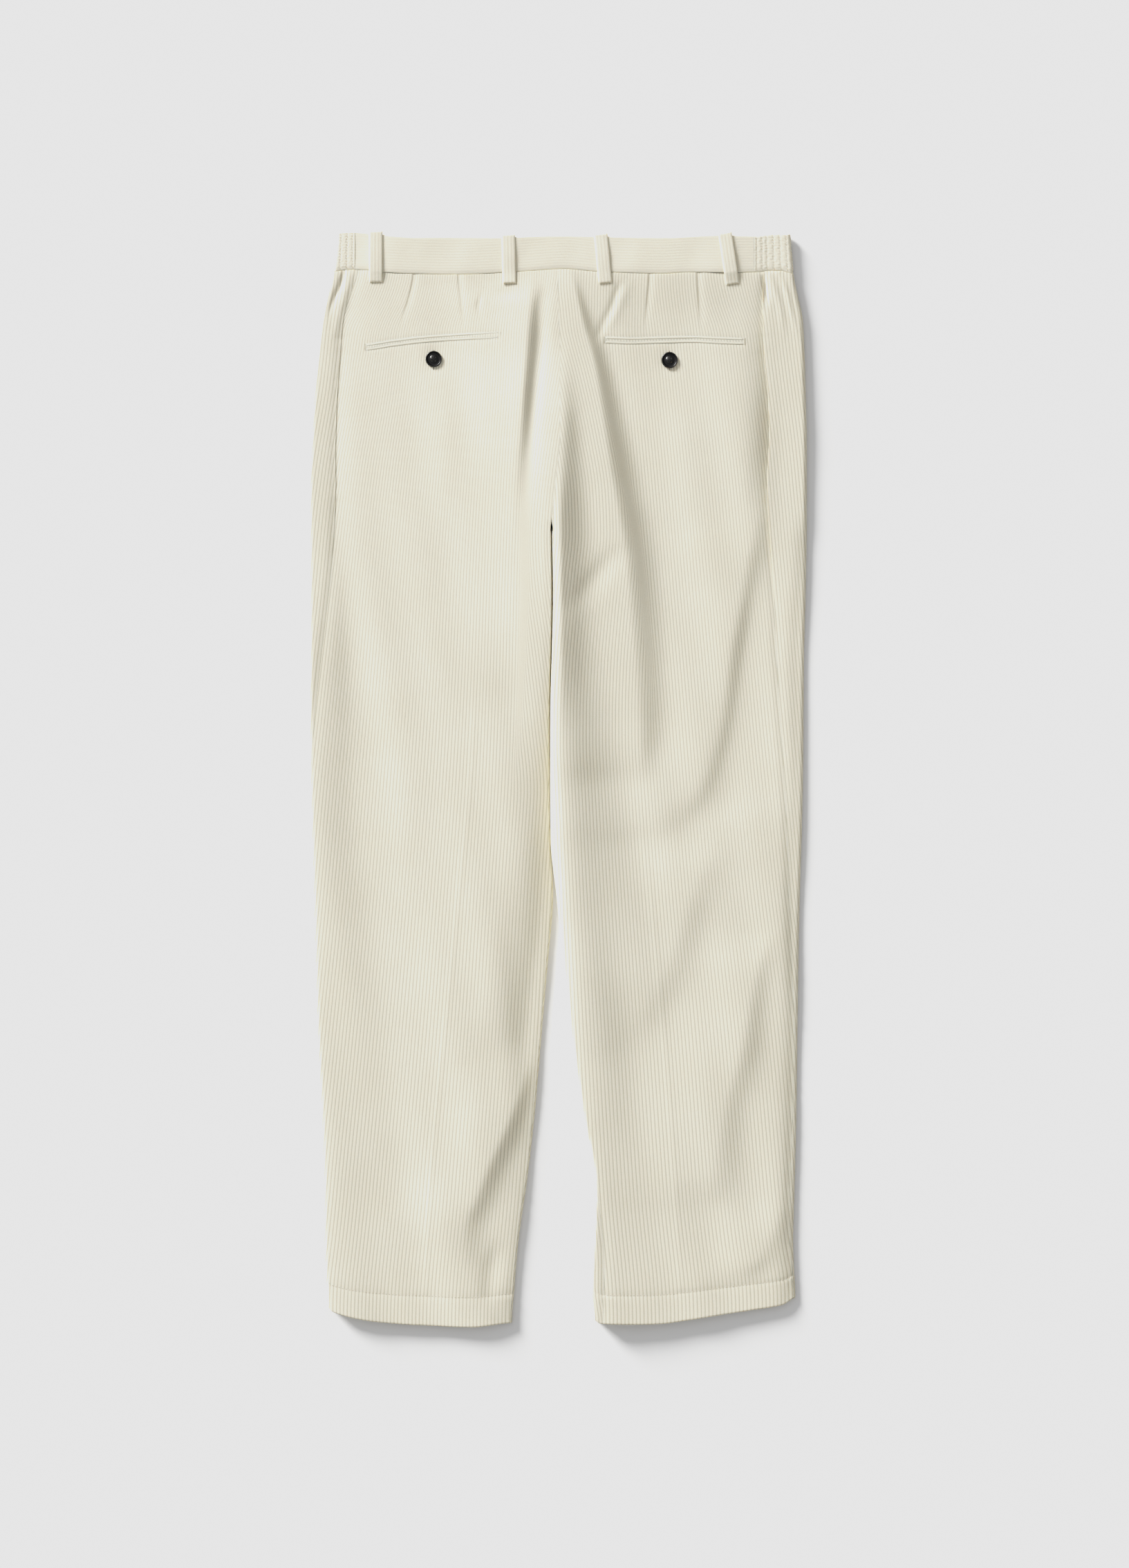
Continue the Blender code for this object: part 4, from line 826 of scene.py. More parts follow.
class Sheet:
    """A ribbed sheet, built row by row. Ribs that run past an edge end on it."""

    def __init__(self, lines, depth, shade=1.0):
        # shade: how much of the painted groove shade the sheet takes
        self.lines, self.depth, self.shade = lines, depth, shade
        self.points, self.ribs, self.spans, self.directions, self.level = [], [], [], [], []

    def add_row(self, low, high, locate):
        """locate(ribs) gives the points, outward directions and squeeze of places between low and high."""
        count = len(self.lines)
        first = min(max(int(np.searchsorted(self.lines, low, side="right")) - 1, 0), count - 2)
        last = max(min(int(np.searchsorted(self.lines, high, side="left")), count - 1), first + 1)
        ribs = np.clip(self.lines[first : last + 1], low, high)
        points, directions, squeeze = locate(ribs)
        fade = 1.0 / np.maximum(squeeze, 1.0)
        depth = groove(ribs) * fade
        self.level.append(points)
        self.points.append(points - directions * (self.depth * depth)[:, None])
        self.directions.append(directions)
        # The rib value is painted shade: lower down in the grooves, and lower where ribs are squeezed
        # together.
        self.ribs.append(1.0 - self.shade * (depth + MEAN_GROOVE * (1.0 - fade)))
        self.spans.append((first, last))

    def repeat_row(self, row, shift, inwards):
        """A row that copies another, moved by shift and then inwards, for a turned edge."""
        self.level.append(self.level[row] + np.array(shift) - self.directions[row] * inwards)
        self.points.append(self.points[row] + np.array(shift) - self.directions[row] * inwards)
        self.directions.append(self.directions[row])
        self.ribs.append(self.ribs[row])
        self.spans.append(self.spans[row])

    def ids(self):
        """The number of the point at each row and column. Columns past an edge take the edge's point."""
        starts = np.concatenate([[0], np.cumsum([len(p) for p in self.points])[:-1]])
        columns = np.arange(len(self.lines))
        return np.array([start + np.clip(columns, a, b) - a for start, (a, b) in zip(starts, self.spans)])

    def cut(self):
        """Width, length and area of the cloth laid flat, in millimetres."""
        ids, points = self.ids(), np.concatenate(self.level)
        width = max(float(np.linalg.norm(np.diff(row, axis=0), axis=1).sum()) for row in self.level)
        middle = points[ids[:, ids.shape[1] // 2]]
        length = float(np.linalg.norm(np.diff(middle, axis=0), axis=1).sum())
        a, b, c, d = (points[k] for k in (ids[:-1, :-1], ids[1:, :-1], ids[1:, 1:], ids[:-1, 1:]))
        area = float(np.linalg.norm(np.cross(c - a, d - b), axis=-1).sum()) / 2
        return width, max(length, area / width), area

    def mesh(self, name, turned, flipped):
        """The mesh, with the edges named in turned ("low", "high", "first", "last") turned inwards."""
        ids = self.ids()
        a, b, c, d = ids[:-1, :-1], ids[1:, :-1], ids[1:, 1:], ids[:-1, 1:]
        near, far = a != d, b != c
        quads = np.stack([a, b, c, d], axis=-1)[near & far]
        tops = np.stack([a, b, d], axis=-1)[near & ~far]
        feet = np.stack([a, b, c], axis=-1)[~near & far]
        points = np.concatenate(self.points)
        ribs = np.concatenate(self.ribs)
        facing = np.concatenate(self.directions)
        edges = {
            "low": (ids[:, 0], ids[:, 1]),
            "high": (ids[::-1, -1], ids[::-1, -2]),
            "first": (np.unique(ids[0])[::-1], np.unique(ids[1])),
            "last": (np.unique(ids[-1]), np.unique(ids[-2])),
        }
        skirts = []
        for edge in turned:
            loop, inner = edges[edge]
            if len(inner) == len(loop) and edge in ("low", "high"):
                apart = points[loop] - points[inner]
                apart = apart / np.maximum(np.linalg.norm(apart, axis=1), NO_LENGTH)[:, None]
            else:
                apart = np.zeros((len(loop), 3))
            fresh = len(points) + np.arange(len(loop))
            points = np.concatenate([points, points[loop] - facing[loop] * TURN_IN + apart * TURN_OVER])
            facing = np.concatenate([facing, facing[loop]])
            # the turned edges take the darkest painted groove shade
            ribs = np.concatenate([ribs, np.zeros(len(loop))])
            skirts.append(np.stack([loop[:-1], fresh[:-1], fresh[1:], loop[1:]], axis=-1))
        quads = np.concatenate([quads, *skirts])
        faces = [face for group in (quads, tops, feet) for face in group.tolist()]
        return ribbed_mesh(name, points, faces, ribs, flipped)


def ribbed_mesh(name, points, faces, ribs, flipped=False):
    """A mesh, smooth but for its turned edges, with an attribute for painted groove shade: how near the top
    of a rib a point is.
    """
    if flipped:
        faces = [face[::-1] for face in faces]
    mesh = bpy.data.meshes.new(name)
    mesh.from_pydata((np.asarray(points) * MM).tolist(), [], faces)
    attribute = mesh.attributes.new("rib_shade", "FLOAT", "POINT")
    attribute.data.foreach_set("value", np.asarray(ribs, np.float32))
    mesh.shade_smooth()
    mesh.set_sharp_from_angle(angle=math.radians(SHARP_ANGLE))
    return mesh


# ---------------------------------------------------------------- leg panels


def back_sheet(leg):
    """A back panel, from the side seam to the inseam."""
    rows = nominal_rows()
    edges = [sorted((float(leg.side_seam(y)), float(leg.inseam(y)))) for y in rows]
    edges = [(a + SEWN_GAP / 2, b - SEWN_GAP / 2) for a, b in edges]
    spans = [(grain(leg.side, a, y), grain(leg.side, b, y)) for (a, b), y in zip(edges, rows)]
    sheet = Sheet(rib_lines(min(s[0] for s in spans), max(s[1] for s in spans)), RIB_DEPTH)
    for y, (a, b), (low, high) in zip(map(float, rows), edges, spans):
        dense = np.linspace(a, b, int((b - a) * BACK_STEPS))
        counted = grain(leg.side, dense, y)
        height = back_height(leg, dense, y)
        slope = np.gradient(height, dense)
        squeeze = np.gradient(counted, dense) * RIB_PITCH

        def locate(ribs):
            x = np.interp(ribs, counted, dense)
            z = np.interp(x, dense, height)
            across = -np.interp(x, dense, slope)
            length = np.hypot(across, 1.0)
            directions = np.stack([across / length, np.zeros(len(x)), 1 / length], axis=1)
            along = leg.place(x, y, np.zeros(len(x), bool)) + pocket_shift(leg.side, x, y)
            return np.stack([x, along, z], axis=1), directions, np.interp(x, dense, squeeze)

        sheet.add_row(float(low), float(high), locate)
    add_hem(sheet)
    return sheet, sheet.mesh(f"back_{leg.side}_cloth", ("low", "high", "first"), False)


def add_hem(sheet):
    """The cloth rolls under at the hem and goes up again inside."""
    last = len(sheet.points) - 1
    for depth in HEM_ROLL_DEPTHS:
        sheet.repeat_row(last, (0, -HEM_ROLL, 0), depth)
    for inside in (0.0, HEM_INSIDE):
        sheet.repeat_row(last, (0, inside, 0), HEM_WALL)


def front_path(leg, y):
    """The front panel's outside across the leg: points (x, z), directions, and the index of its edge."""
    split, inner, out = float(leg.split(y)), float(leg.inner(y)), leg.out
    radius = level(INNER_RADIUS, y)
    roll_x = inner + out * radius
    half = float(quiet_top(roll_x, y)) / 2
    seam_x = float(leg.inseam(y)) - out * SEWN_GAP / 2
    lap = FLY_LAP * float(ease((y - FLY_END_Y) / LAP_STEP)) if leg.side == "left" else 0.0
    over = max(out * (seam_x - inner) - radius, 0.0)
    turn = np.linspace(roll_angle(out * (seam_x - inner), radius), math.pi, ROLL_STEPS)
    x = roll_x - out * radius * np.sin(turn)
    z = np.where(turn < math.pi / 2, leg.on_top(x, y, 0.0), half * (1 + np.cos(turn)))
    angle = turn
    if over:
        top_x = roll_x + out * over * np.linspace(1, 0, TOP_STEPS)[:-1]
        x, z = np.concatenate([top_x, x]), np.concatenate([leg.on_top(top_x, y, 0.0), z])
        angle = np.concatenate([np.zeros(len(top_x)), angle])
    flat_x = inner + out * (SEAM_GAP / 2 + np.linspace(0, INNER_FLAT, len(x)) - lap)
    flat_z = leg.underside(flat_x, y)
    x, z = split * x + (1 - split) * flat_x, split * z + (1 - split) * flat_z
    angle = math.pi - split * (math.pi - angle)
    inner_across = -out * np.sin(angle) / radius
    inner_up = np.cos(angle) / half

    outer_roll = float(leg.outer(y)) - out * EDGE_RADIUS
    end_x = float(leg.side_seam(y)) + out * SEWN_GAP / 2
    depth = out * (float(leg.outer(y)) - end_x)
    base, middle = float(leg.underside(outer_roll, y)), float(leg.roll_middle(outer_roll, y))
    under_x = np.linspace(x[-1], outer_roll, UNDER_STEPS)[1:-1]
    turn = np.linspace(math.pi, roll_angle(depth, EDGE_RADIUS), WRAP_STEPS)
    round_x = outer_roll + out * EDGE_RADIUS * np.sin(turn)
    round_z = np.where(turn < math.pi / 2, leg.wrap_top(round_x, y), middle + (middle - base) * np.cos(turn))
    wrap_x = outer_roll - out * max(depth - EDGE_RADIUS, 0.0) * np.linspace(0, 1, WRAP_STEPS)[1:]
    wrap_x = wrap_x if depth > EDGE_RADIUS else wrap_x[:0]
    all_x = np.concatenate([x, under_x, round_x, wrap_x])
    all_z = np.concatenate([z, leg.underside(under_x, y), round_z, leg.wrap_top(wrap_x, y)])
    across = np.concatenate([inner_across, 0 * under_x, out * np.sin(turn) / EDGE_RADIUS, 0 * wrap_x])
    up = np.concatenate([inner_up, 0 * under_x - 1, np.cos(turn) / (middle - base), 0 * wrap_x + 1])
    length = np.hypot(across, up)
    facing_up = np.clip(up / length * 2, 0, 1)
    all_z = all_z + facing_up * (creases(all_x, y) + seam_detail(leg, all_x, y))
    edge = len(x) + len(under_x) + int(np.argmin(np.abs(turn - math.pi / 2)))
    return np.stack([all_x, all_z], axis=1), np.stack([across / length, up / length], axis=1), edge


def front_sheet(leg):
    """A front panel, from the inseam underneath and round the side to the side seam."""
    rows = nominal_rows()
    paths = [front_path(leg, float(y)) for y in rows]
    counted = []
    for y, (points, _, edge) in zip(rows, paths):
        length = run(*points.T)
        shift = leg.out * (float(leg.outer(y)) - float(column(GRAIN[leg.side], 1, y)))
        counted.append((length - length[edge] - shift) / RIB_PITCH)
    sheet = Sheet(rib_lines(min(c[0] for c in counted), max(c[-1] for c in counted)), RIB_DEPTH)
    for y, (points, directions, _), ribs_at in zip(map(float, rows), paths, counted):

        def locate(ribs):
            x, z = np.interp(ribs, ribs_at, points[:, 0]), np.interp(ribs, ribs_at, points[:, 1])
            across, up = (np.interp(ribs, ribs_at, directions[:, k]) for k in (0, 1))
            length = np.hypot(across, up)
            along = leg.place(x, y, up < 0)
            facing = np.stack([across / length, np.zeros(len(x)), up / length], axis=1)
            return np.stack([x, along, z], axis=1), facing, np.ones(len(x))

        sheet.add_row(float(ribs_at[0]), float(ribs_at[-1]), locate)
    add_hem(sheet)
    return sheet, sheet.mesh(f"front_{leg.side}_cloth", ("low", "high", "first"), leg.side == "right")


# ---------------------------------------------------------------- waistband


def band_section(height):
    """A band's section as a dense line: places up the band, places out of it, and its outward directions."""
    radius = BAND_CLOTH / 2
    face_steps, turn_steps, facing_steps = BAND_STEPS
    face = np.linspace(0, height - radius, face_steps)
    turn = np.linspace(0, math.pi, turn_steps)[1:]
    inside = height - radius - np.linspace(0, BAND_FACING, facing_steps)[1:]
    up = np.concatenate([face, height - radius + radius * np.sin(turn), inside])
    rounded = -BAND_EDGE_DROP * np.exp(-face / BAND_EDGE_REACH)
    out = np.concatenate([rounded, radius * (np.cos(turn) - 1), np.full(len(inside), -BAND_CLOTH)])
    slope_up, slope_out = np.gradient(up), np.gradient(out)
    length = np.hypot(slope_up, slope_out)
    return up, out, -slope_out / length, slope_up / length


def band_sheet(name, frames, flipped):
    """A ribbed band through frames along it: (foot, top, outward direction, bulge by height)."""
    tallest = max(np.linalg.norm(np.subtract(top, foot)) for foot, top, _, _ in frames)
    longest = tallest + BAND_FACING + BAND_CLOTH
    sheet = Sheet(rib_lines(0.0, longest / BAND_RIB_PITCH), BAND_RIB_DEPTH, BAND_GROOVE_SHADE)
    for foot, top, outward, bulge in frames:
        foot, outward = np.array(foot, float), np.array(outward, float)
        rise = np.array(top, float) - foot
        height = float(np.linalg.norm(rise))
        rise = rise / height
        up, out, facing_up, facing_out = band_section(height)
        length = run(up, out)
        out = out + bulge(up, height) * np.clip(1 + out / BAND_CLOTH, 0, 1)

        def locate(ribs):
            along = ribs * BAND_RIB_PITCH
            lines = (up, out, facing_up, facing_out)
            u, o, fu, fo = (np.interp(along, length, line)[:, None] for line in lines)
            return foot + u * rise + o * outward, unit(fu * rise + fo * outward), np.ones(len(ribs))

        sheet.add_row(0.0, float(length[-1]) / BAND_RIB_PITCH, locate)
    return sheet, sheet.mesh(name, ("low", "first", "last"), flipped)


def side_press(x):
    """What is left of the waistband's height at x, as it sinks towards the sides."""
    return 1 - SIDE_PRESS * float(ease((abs(x) - SIDE_PRESS_FROM) / SIDE_PRESS_LENGTH))


def band_stations(first, last):
    """Places of the frames along a band, with one close to each end so that its turned edge stays crisp."""
    close = math.copysign(BAND_END, last - first)
    return [first, *np.linspace(first + close, last - close, int(abs(last - first) / BAND_STATION)), last]


def band_waves(x):
    """The slight unevenness of an interfaced band, as a function of the height on it."""
    sway = sum(height * math.sin(2 * math.pi * x / length + phase) for length, height, phase in BAND_WAVES)
    return lambda up, height: sway * np.sin(np.pi * np.clip(up / height, 0, 1))


def back_band():
    """The back waistband, between the two shirred sides."""
    first, last = ELASTIC_START["left"] + SEWN_GAP / 2, ELASTIC_START["right"] - SEWN_GAP / 2
    frames = []
    for x in band_stations(first, last):
        foot, top, z = level(WAIST_SEAM, x) + SEAM_GAP / 2, level(WAIST_TOP, x), BAND_TOP * side_press(x)
        frames.append(((x, foot, z), (x, top, z), (0, 0, 1), band_waves(x)))
    return band_sheet("waistband_back_cloth", frames, False)


def front_band(leg):
    """One half of the front waistband, lying face down. The left half laps over the right at the fly."""
    inner = float(leg.inner(WAIST_Y))
    first = inner + (FLY_LAP if leg.side == "left" else SEAM_GAP)
    last = ELASTIC_END[leg.side] - leg.out * SEAM_GAP / 2
    frames = []
    for x in band_stations(first, last):
        z = BAND_UNDERSIDE * side_press(x)
        if leg.side == "right":
            z = z + (BAND_CLOTH + SEAM_GAP) * float(ease((FLY_LAP + LAP_RAMP - (x - inner)) / LAP_RAMP))
        foot = float(leg.waist_line(x, np.array(True))) + SEAM_GAP / 2
        frames.append(((x, foot, z), (x, level(WAIST_TOP, x), z), (0, 0, -1), lambda up, height: 0 * up))
    return band_sheet(f"waistband_front_{leg.side}_cloth", frames, leg.side == "right")


def elastic_path(leg, y):
    """The outside of a shirred side, round the edge: a function giving (x, z, direction), and its length."""
    start = ELASTIC_START[leg.side] + leg.out * SEWN_GAP / 2
    end = ELASTIC_END[leg.side] + leg.out * SEAM_GAP / 2
    roll_x = float(leg.outer(y)) - leg.out * EDGE_RADIUS
    half = (BAND_TOP - BAND_UNDERSIDE) / 2
    arc = math.pi * (EDGE_RADIUS + half) / 2
    flat = leg.out * (roll_x - start)
    under = leg.out * (roll_x - end)

    def at(length):
        if length <= flat:
            return start + leg.out * length, BAND_TOP, (0.0, 1.0)
        if length >= flat + arc:
            return roll_x - leg.out * (length - flat - arc), BAND_UNDERSIDE, (0.0, -1.0)
        angle = math.pi * (length - flat) / arc
        x = roll_x + leg.out * EDGE_RADIUS * math.sin(angle)
        z = (BAND_TOP + BAND_UNDERSIDE) / 2 + half * math.cos(angle)
        across, up = leg.out * math.sin(angle) / EDGE_RADIUS, math.cos(angle) / half
        length = math.hypot(across, up)
        return x, z, (across / length, up / length)

    return at, flat + arc + under


def shirring_lines(leg, length):
    """Places of the rows of shirring along a path of this length."""
    lines = list(SHIRRING[leg.side])
    while lines[-1] + SHIRRING_ROOM * SHIRRING_PITCH < length:
        lines.append(lines[-1] + SHIRRING_PITCH)
    return lines


def elastic_frame(leg, place):
    """The foot, top and outward direction of a shirred side at a place along it."""
    _, length = elastic_path(leg, WAIST_Y)
    ends = []
    for share in (0.0, 1.0):
        nominal = WAIST_Y + share * (level(WAIST_TOP, ELASTIC_START[leg.side]) - WAIST_Y)
        at, row_length = elastic_path(leg, nominal)
        x, z, (across, up) = at(place * row_length / length)
        seam = float(leg.waist_line(x, np.array(up < 0))) + SEAM_GAP / 2
        ends.append((x, seam if share == 0 else level(WAIST_TOP, x), z * side_press(x)))
    return ends[0], ends[1], (across, 0.0, up)


def crumple(up, place):
    """How far the gathered cloth stands out, up the band and along it."""
    total = 0
    for tall, long, rise, phase in CRUMPLES:
        leans = np.sin(2 * np.pi * (up / tall + place / (3 * long)) + phase)
        total = total + rise * leans * math.cos(2 * math.pi * place / long + phase)
    return total


def elastic(leg):
    """A shirred side of the waistband, puffed out between the rows of shirring."""
    _, length = elastic_path(leg, WAIST_Y)
    lines = [0.0, *shirring_lines(leg, length), length]

    def bulge_at(place):
        i = min(max(int(np.searchsorted(lines, place, side="right")) - 1, 0), len(lines) - 2)
        between = (place - lines[i]) / (lines[i + 1] - lines[i])
        puff = ELASTIC_RIB * math.sin(math.pi * min(max(between, 0.0), 1.0)) ** PUFF_FULLNESS
        tuck = ELASTIC_TUCK * bell(min(abs(place - line) for line in lines[1:-1]), TUCK_REACH)
        gathered = float(ease((place - lines[1] + SHIRRING_PITCH) / SHIRRING_PITCH))

        def bulge(up, height):
            fade = PUFF_AT_TOP + (1 - PUFF_AT_TOP) * ease((height - up) / ELASTIC_ENDS)
            fade = ease(up / ELASTIC_ENDS) * fade
            stitched = STITCH_MEAN + STITCH_SHARE * np.cos(2 * np.pi * up / sum(SHIRRING_STITCH))
            return (puff + crumple(up, place) * gathered) * fade - tuck * stitched * ease(up / TUCK_FADE)

        return bulge

    places = [0.0, *np.linspace(BAND_END, length - BAND_END, int(length / ELASTIC_STATION)), length]
    frames = [(*elastic_frame(leg, float(place)), bulge_at(float(place))) for place in places]
    return band_sheet(f"waistband_elastic_{leg.side}_cloth", frames, leg.side == "left")


# ---------------------------------------------------------------- loops and jets


def strip_mesh(name, centres, acrosses, ups, widths, thicknesses, ribs, depth):
    """A closed flat strip with rounded edges, lofted along its centre line, with ribs on its upper side."""
    plain_steps, rib_steps, foot_steps = STRIP_STEPS
    top = np.sin(np.linspace(-math.pi / 2, math.pi / 2, rib_steps * ribs + 1 if ribs else plain_steps))
    foot = np.sin(np.linspace(math.pi / 2, -math.pi / 2, foot_steps))[1:-1]
    share = np.concatenate([top, foot])
    side = np.concatenate([np.ones(len(top)), -np.ones(len(foot))])
    cut = groove((top + 1) / 2 * ribs) * (1 - top**RIB_FADE) if ribs else np.zeros(len(top))
    cut = np.concatenate([cut, np.zeros(len(foot))])
    power = CROWN_POWERS[1] if ribs else CROWN_POWERS[0]
    points, shades = [], []
    for centre, across, up, width, thickness in zip(centres, acrosses, ups, widths, thicknesses):
        half = thickness / 2
        beyond = np.clip((np.abs(share) * width / 2 - (width / 2 - half)) / half, 0, 1)
        crown = np.where(side > 0, 1 - STRIP_CROWN * np.abs(share) ** power, 1.0)
        z = side * half * crown * np.sqrt(1 - beyond**2) - depth * cut * min(half / (LOOP_CLOTH / 2), 1.0)
        points.append(centre + np.outer(share * width / 2, across) + np.outer(z, up))
        # painted shade, darker towards the grooves of a ribbed strip
        shades.append((LOOP_SHADE if ribs else PLAIN_SHADE) - LOOP_GROOVE_SHADE * cut)
    around, count = len(share), len(points)
    faces = []
    for i in range(count - 1):
        for j in range(around):
            a, d = i * around + j, i * around + (j + 1) % around
            faces.append([a, a + around, d + around, d])
    faces.append(list(range(around)))
    faces.append([(count - 1) * around + j for j in range(around - 1, -1, -1)])
    return ribbed_mesh(name, np.concatenate(points), faces, np.concatenate(shades))


def rounded_ends(places, radius):
    """1 along the middle of a strip, falling to nearly 0 round its two ends."""
    left = np.minimum(places - places[0], places[-1] - places)
    return np.sqrt(1 - (1 - np.clip(left / radius, ROUND_END, 1)) ** 2)


def clear_height(left, right, x, y):
    """Height of the cloth of the back at a place on the panels or the waistband."""
    if y > level(WAIST_SEAM, x) - BAND_STARTS:
        return BAND_TOP * side_press(x) + float(band_waves(x)(np.array(BAND_MIDDLE), 2 * BAND_MIDDLE))
    return height_at(left if x < 0 else right, x, min(y, WAIST_Y - BELOW_WAIST))


def back_loop(name, x, lean, left, right):
    """A loop standing over the band, sewn down above its upper edge and below the waist seam."""
    foot, top = level(WAIST_SEAM, x) - LOOP_DROP, level(WAIST_TOP, x) + LOOP_OVER_TOP
    y = np.linspace(top, foot, LOOP_STATIONS)
    share = (y - foot) / (top - foot)
    centre = x + lean * (share - 0.5)
    base = []
    for cx, cy in zip(centre, y):
        near = (cy - LOOP_CLEARING, cy, cy + LOOP_CLEARING)
        across = (-LOOP_WIDTH / 2, 0.0, LOOP_WIDTH / 2)
        base.append(max(clear_height(left, right, cx + ax, ny) for ax in across for ny in near))
    evened = np.ones(LOOP_SMOOTHING) / LOOP_SMOOTHING
    base = np.convolve(np.pad(base, LOOP_SMOOTHING // 2, mode="edge"), evened, mode="valid")
    z = base + SEAM_GAP + LOOP_CLOTH / 2 - LOOP_SINK + LOOP_ARCH * np.sin(np.pi * share) ** 2
    centres = np.stack([centre, y, z], axis=1)
    return loop_strip(name, centres, 1.0)


def loop_strip(name, centres, up):
    """A ribbed strip along centres, whose outside faces up: 1, or -1 for down."""
    along = unit(np.gradient(centres, axis=0))
    acrosses = unit(np.cross(along, [0, 0, up]) * -1)
    ups = np.cross(acrosses, along) * -1
    ends = rounded_ends(run(*centres.T), LOOP_CLOTH)
    widths = LOOP_WIDTH * (1 - LOOP_NARROWING * (1 - ends))
    return strip_mesh(name, centres, acrosses, ups, widths, LOOP_CLOTH * ends, LOOP_RIBS, LOOP_RIB_DEPTH)


def front_loop(name, x):
    """A plain loop under the front waistband, lying face down on the surface."""
    y = np.linspace(level(WAIST_TOP, x), level(WAIST_SEAM, 0.0) - LOOP_DROP, LOOP_STATIONS)
    centres = np.stack([np.full(len(y), x), y, np.full(len(y), LOOP_CLOTH / 2)], axis=1)
    return loop_strip(name, centres, -1.0)


def jet(name, leg, side):
    """One jet of a back pocket. side is 1 above the slit and -1 below it."""
    line = POCKET_LINES[leg.side]
    x = np.linspace(line[0][0], line[-1][0], JET_STATIONS)
    opens = WELT_SLIT + through(JET_OPENS[leg.side], x)
    width = WELT_HEIGHT - through(JET_OPENS[leg.side], x) / 2
    y = through(line, x) + side * (opens + width) / 2
    places = [(np.array([px]), py) for px, py in zip(x, y)]
    z = np.array([float(leg.back_top(*place)[0] + creases(*place)[0]) for place in places])
    centres = np.stack([x, y, z + SEAM_GAP + WELT_CLOTH / 2 - JET_SINK], axis=1)
    along = unit(np.gradient(centres, axis=0))
    acrosses = np.cross([0.0, 0.0, 1.0], along)
    ups = np.cross(along, acrosses)
    ends = rounded_ends(run(*centres.T), WELT_CLOTH / 2)
    return strip_mesh(name, centres, -acrosses, ups, width, WELT_CLOTH * ends, 0, 0.0)


# ---------------------------------------------------------------- thread


def thread_mesh(name, stitches):
    """Many small stitches in one mesh, each (start, end, outward direction), their ends in the cloth."""
    angles = np.linspace(0, 2 * math.pi, STITCH_SIDES, endpoint=False)
    points, faces = [], []
    for start, end, up in stitches:
        start, end, up = np.array(start, float), np.array(end, float), np.array(up, float)
        along = (end - start) / np.linalg.norm(end - start)
        across = np.cross(up, along)
        across = across / np.linalg.norm(across)
        first = len(points)
        for share, rise, thickness in STITCH_FORM:
            middle = start + share * (end - start) + up * rise * STITCH_RADIUS
            for angle in angles:
                ring = across * math.cos(angle) + up * math.sin(angle)
                points.append(middle + ring * STITCH_RADIUS * thickness)
        for i in range(len(STITCH_FORM) - 1):
            for j in range(STITCH_SIDES):
                a, b = first + i * STITCH_SIDES + j, first + i * STITCH_SIDES + (j + 1) % STITCH_SIDES
                faces.append([a, b, b + STITCH_SIDES, a + STITCH_SIDES])
        last = first + (len(STITCH_FORM) - 1) * STITCH_SIDES
        faces.append([first + j for j in range(STITCH_SIDES - 1, -1, -1)])
        faces.append([last + j for j in range(STITCH_SIDES)])
    return ribbed_mesh(name, points, faces, np.full(len(points), THREAD_SHADE))


def hem_stitches(leg):
    """The row of stitching that holds the hem, on the back."""
    y = HEM_Y + HEM_INSIDE
    low, high = sorted((float(leg.side_seam(y)), float(leg.inseam(y))))
    length, space = HEM_STITCH
    made = []
    for x in np.arange(low + HEM_MARGINS[0], high - length - HEM_MARGINS[1], length + space):
        ends = np.array([x, x + length])
        along = leg.place(ends, y, np.zeros(2, bool))
        z = back_height(leg, ends, y) - HEM_BED
        made.append(((ends[0], along[0], z[0]), (ends[1], along[1], z[1]), (0, 0, 1)))
    return made


def shirring_stitches(leg):
    """The columns of stitching that hold the elastic."""
    _, length = elastic_path(leg, WAIST_Y)
    stitch, space = SHIRRING_STITCH
    made = []
    for line in shirring_lines(leg, length):
        foot, top, outward = (np.array(v, float) for v in elastic_frame(leg, line))
        rise = top - foot
        height = float(np.linalg.norm(rise))
        rise = rise / height
        base = foot - outward * (ELASTIC_TUCK * SHIRRING_BED)
        for up in np.arange(SHIRRING_MARGIN, height - stitch - SHIRRING_MARGIN, stitch + space):
            made.append((base + rise * up, base + rise * (up + stitch), outward))
    return made


def tack(leg, x):
    """A bar of close stitches across the end of a back pocket."""
    y = level(POCKET_LINES[leg.side], x)
    centre, half = np.array([x, y, height_at(leg, x, y)]), np.array([TACK_HALF, 0, 0])
    made = []
    for k in range(TACK_STITCHES):
        place = centre + np.array([0, 2 * WELT_HEIGHT * ((k + 0.5) / TACK_STITCHES - 0.5), 0])
        made.append((place - half, place + half, (0, 0, 1)))
    return made


def buttonhole_slit_shade(leg, x, y):
    """The shaded slit of a buttonhole, whose middle is at x, y, painted as a line of dark stitches."""
    made = []
    for step in np.linspace(-1, 1, BUTTONHOLE_STITCHES + 1)[:-1]:
        low = y + step * BUTTONHOLE_LENGTH / 2
        high = low + BUTTONHOLE_LENGTH / BUTTONHOLE_STITCHES + BUTTONHOLE_OVERLAP
        made.append(((x, low, height_at(leg, x, low)), (x, high, height_at(leg, x, high)), (0, 0, 1)))
    return made


# ---------------------------------------------------------------- buttons


def button_profile():
    """The button's section from the middle of its top to the middle of its foot: (radius, height)."""
    radius = np.concatenate([np.linspace(*rings) for rings in BUTTON_RINGS])
    top = [(float(r), float(h)) for r, h in zip(radius, through(BUTTON_TOP, radius))]
    return [*top, *((BUTTON_RADIUS - inside, height) for inside, height in BUTTON_SIDE), (0.0, 0.0)]


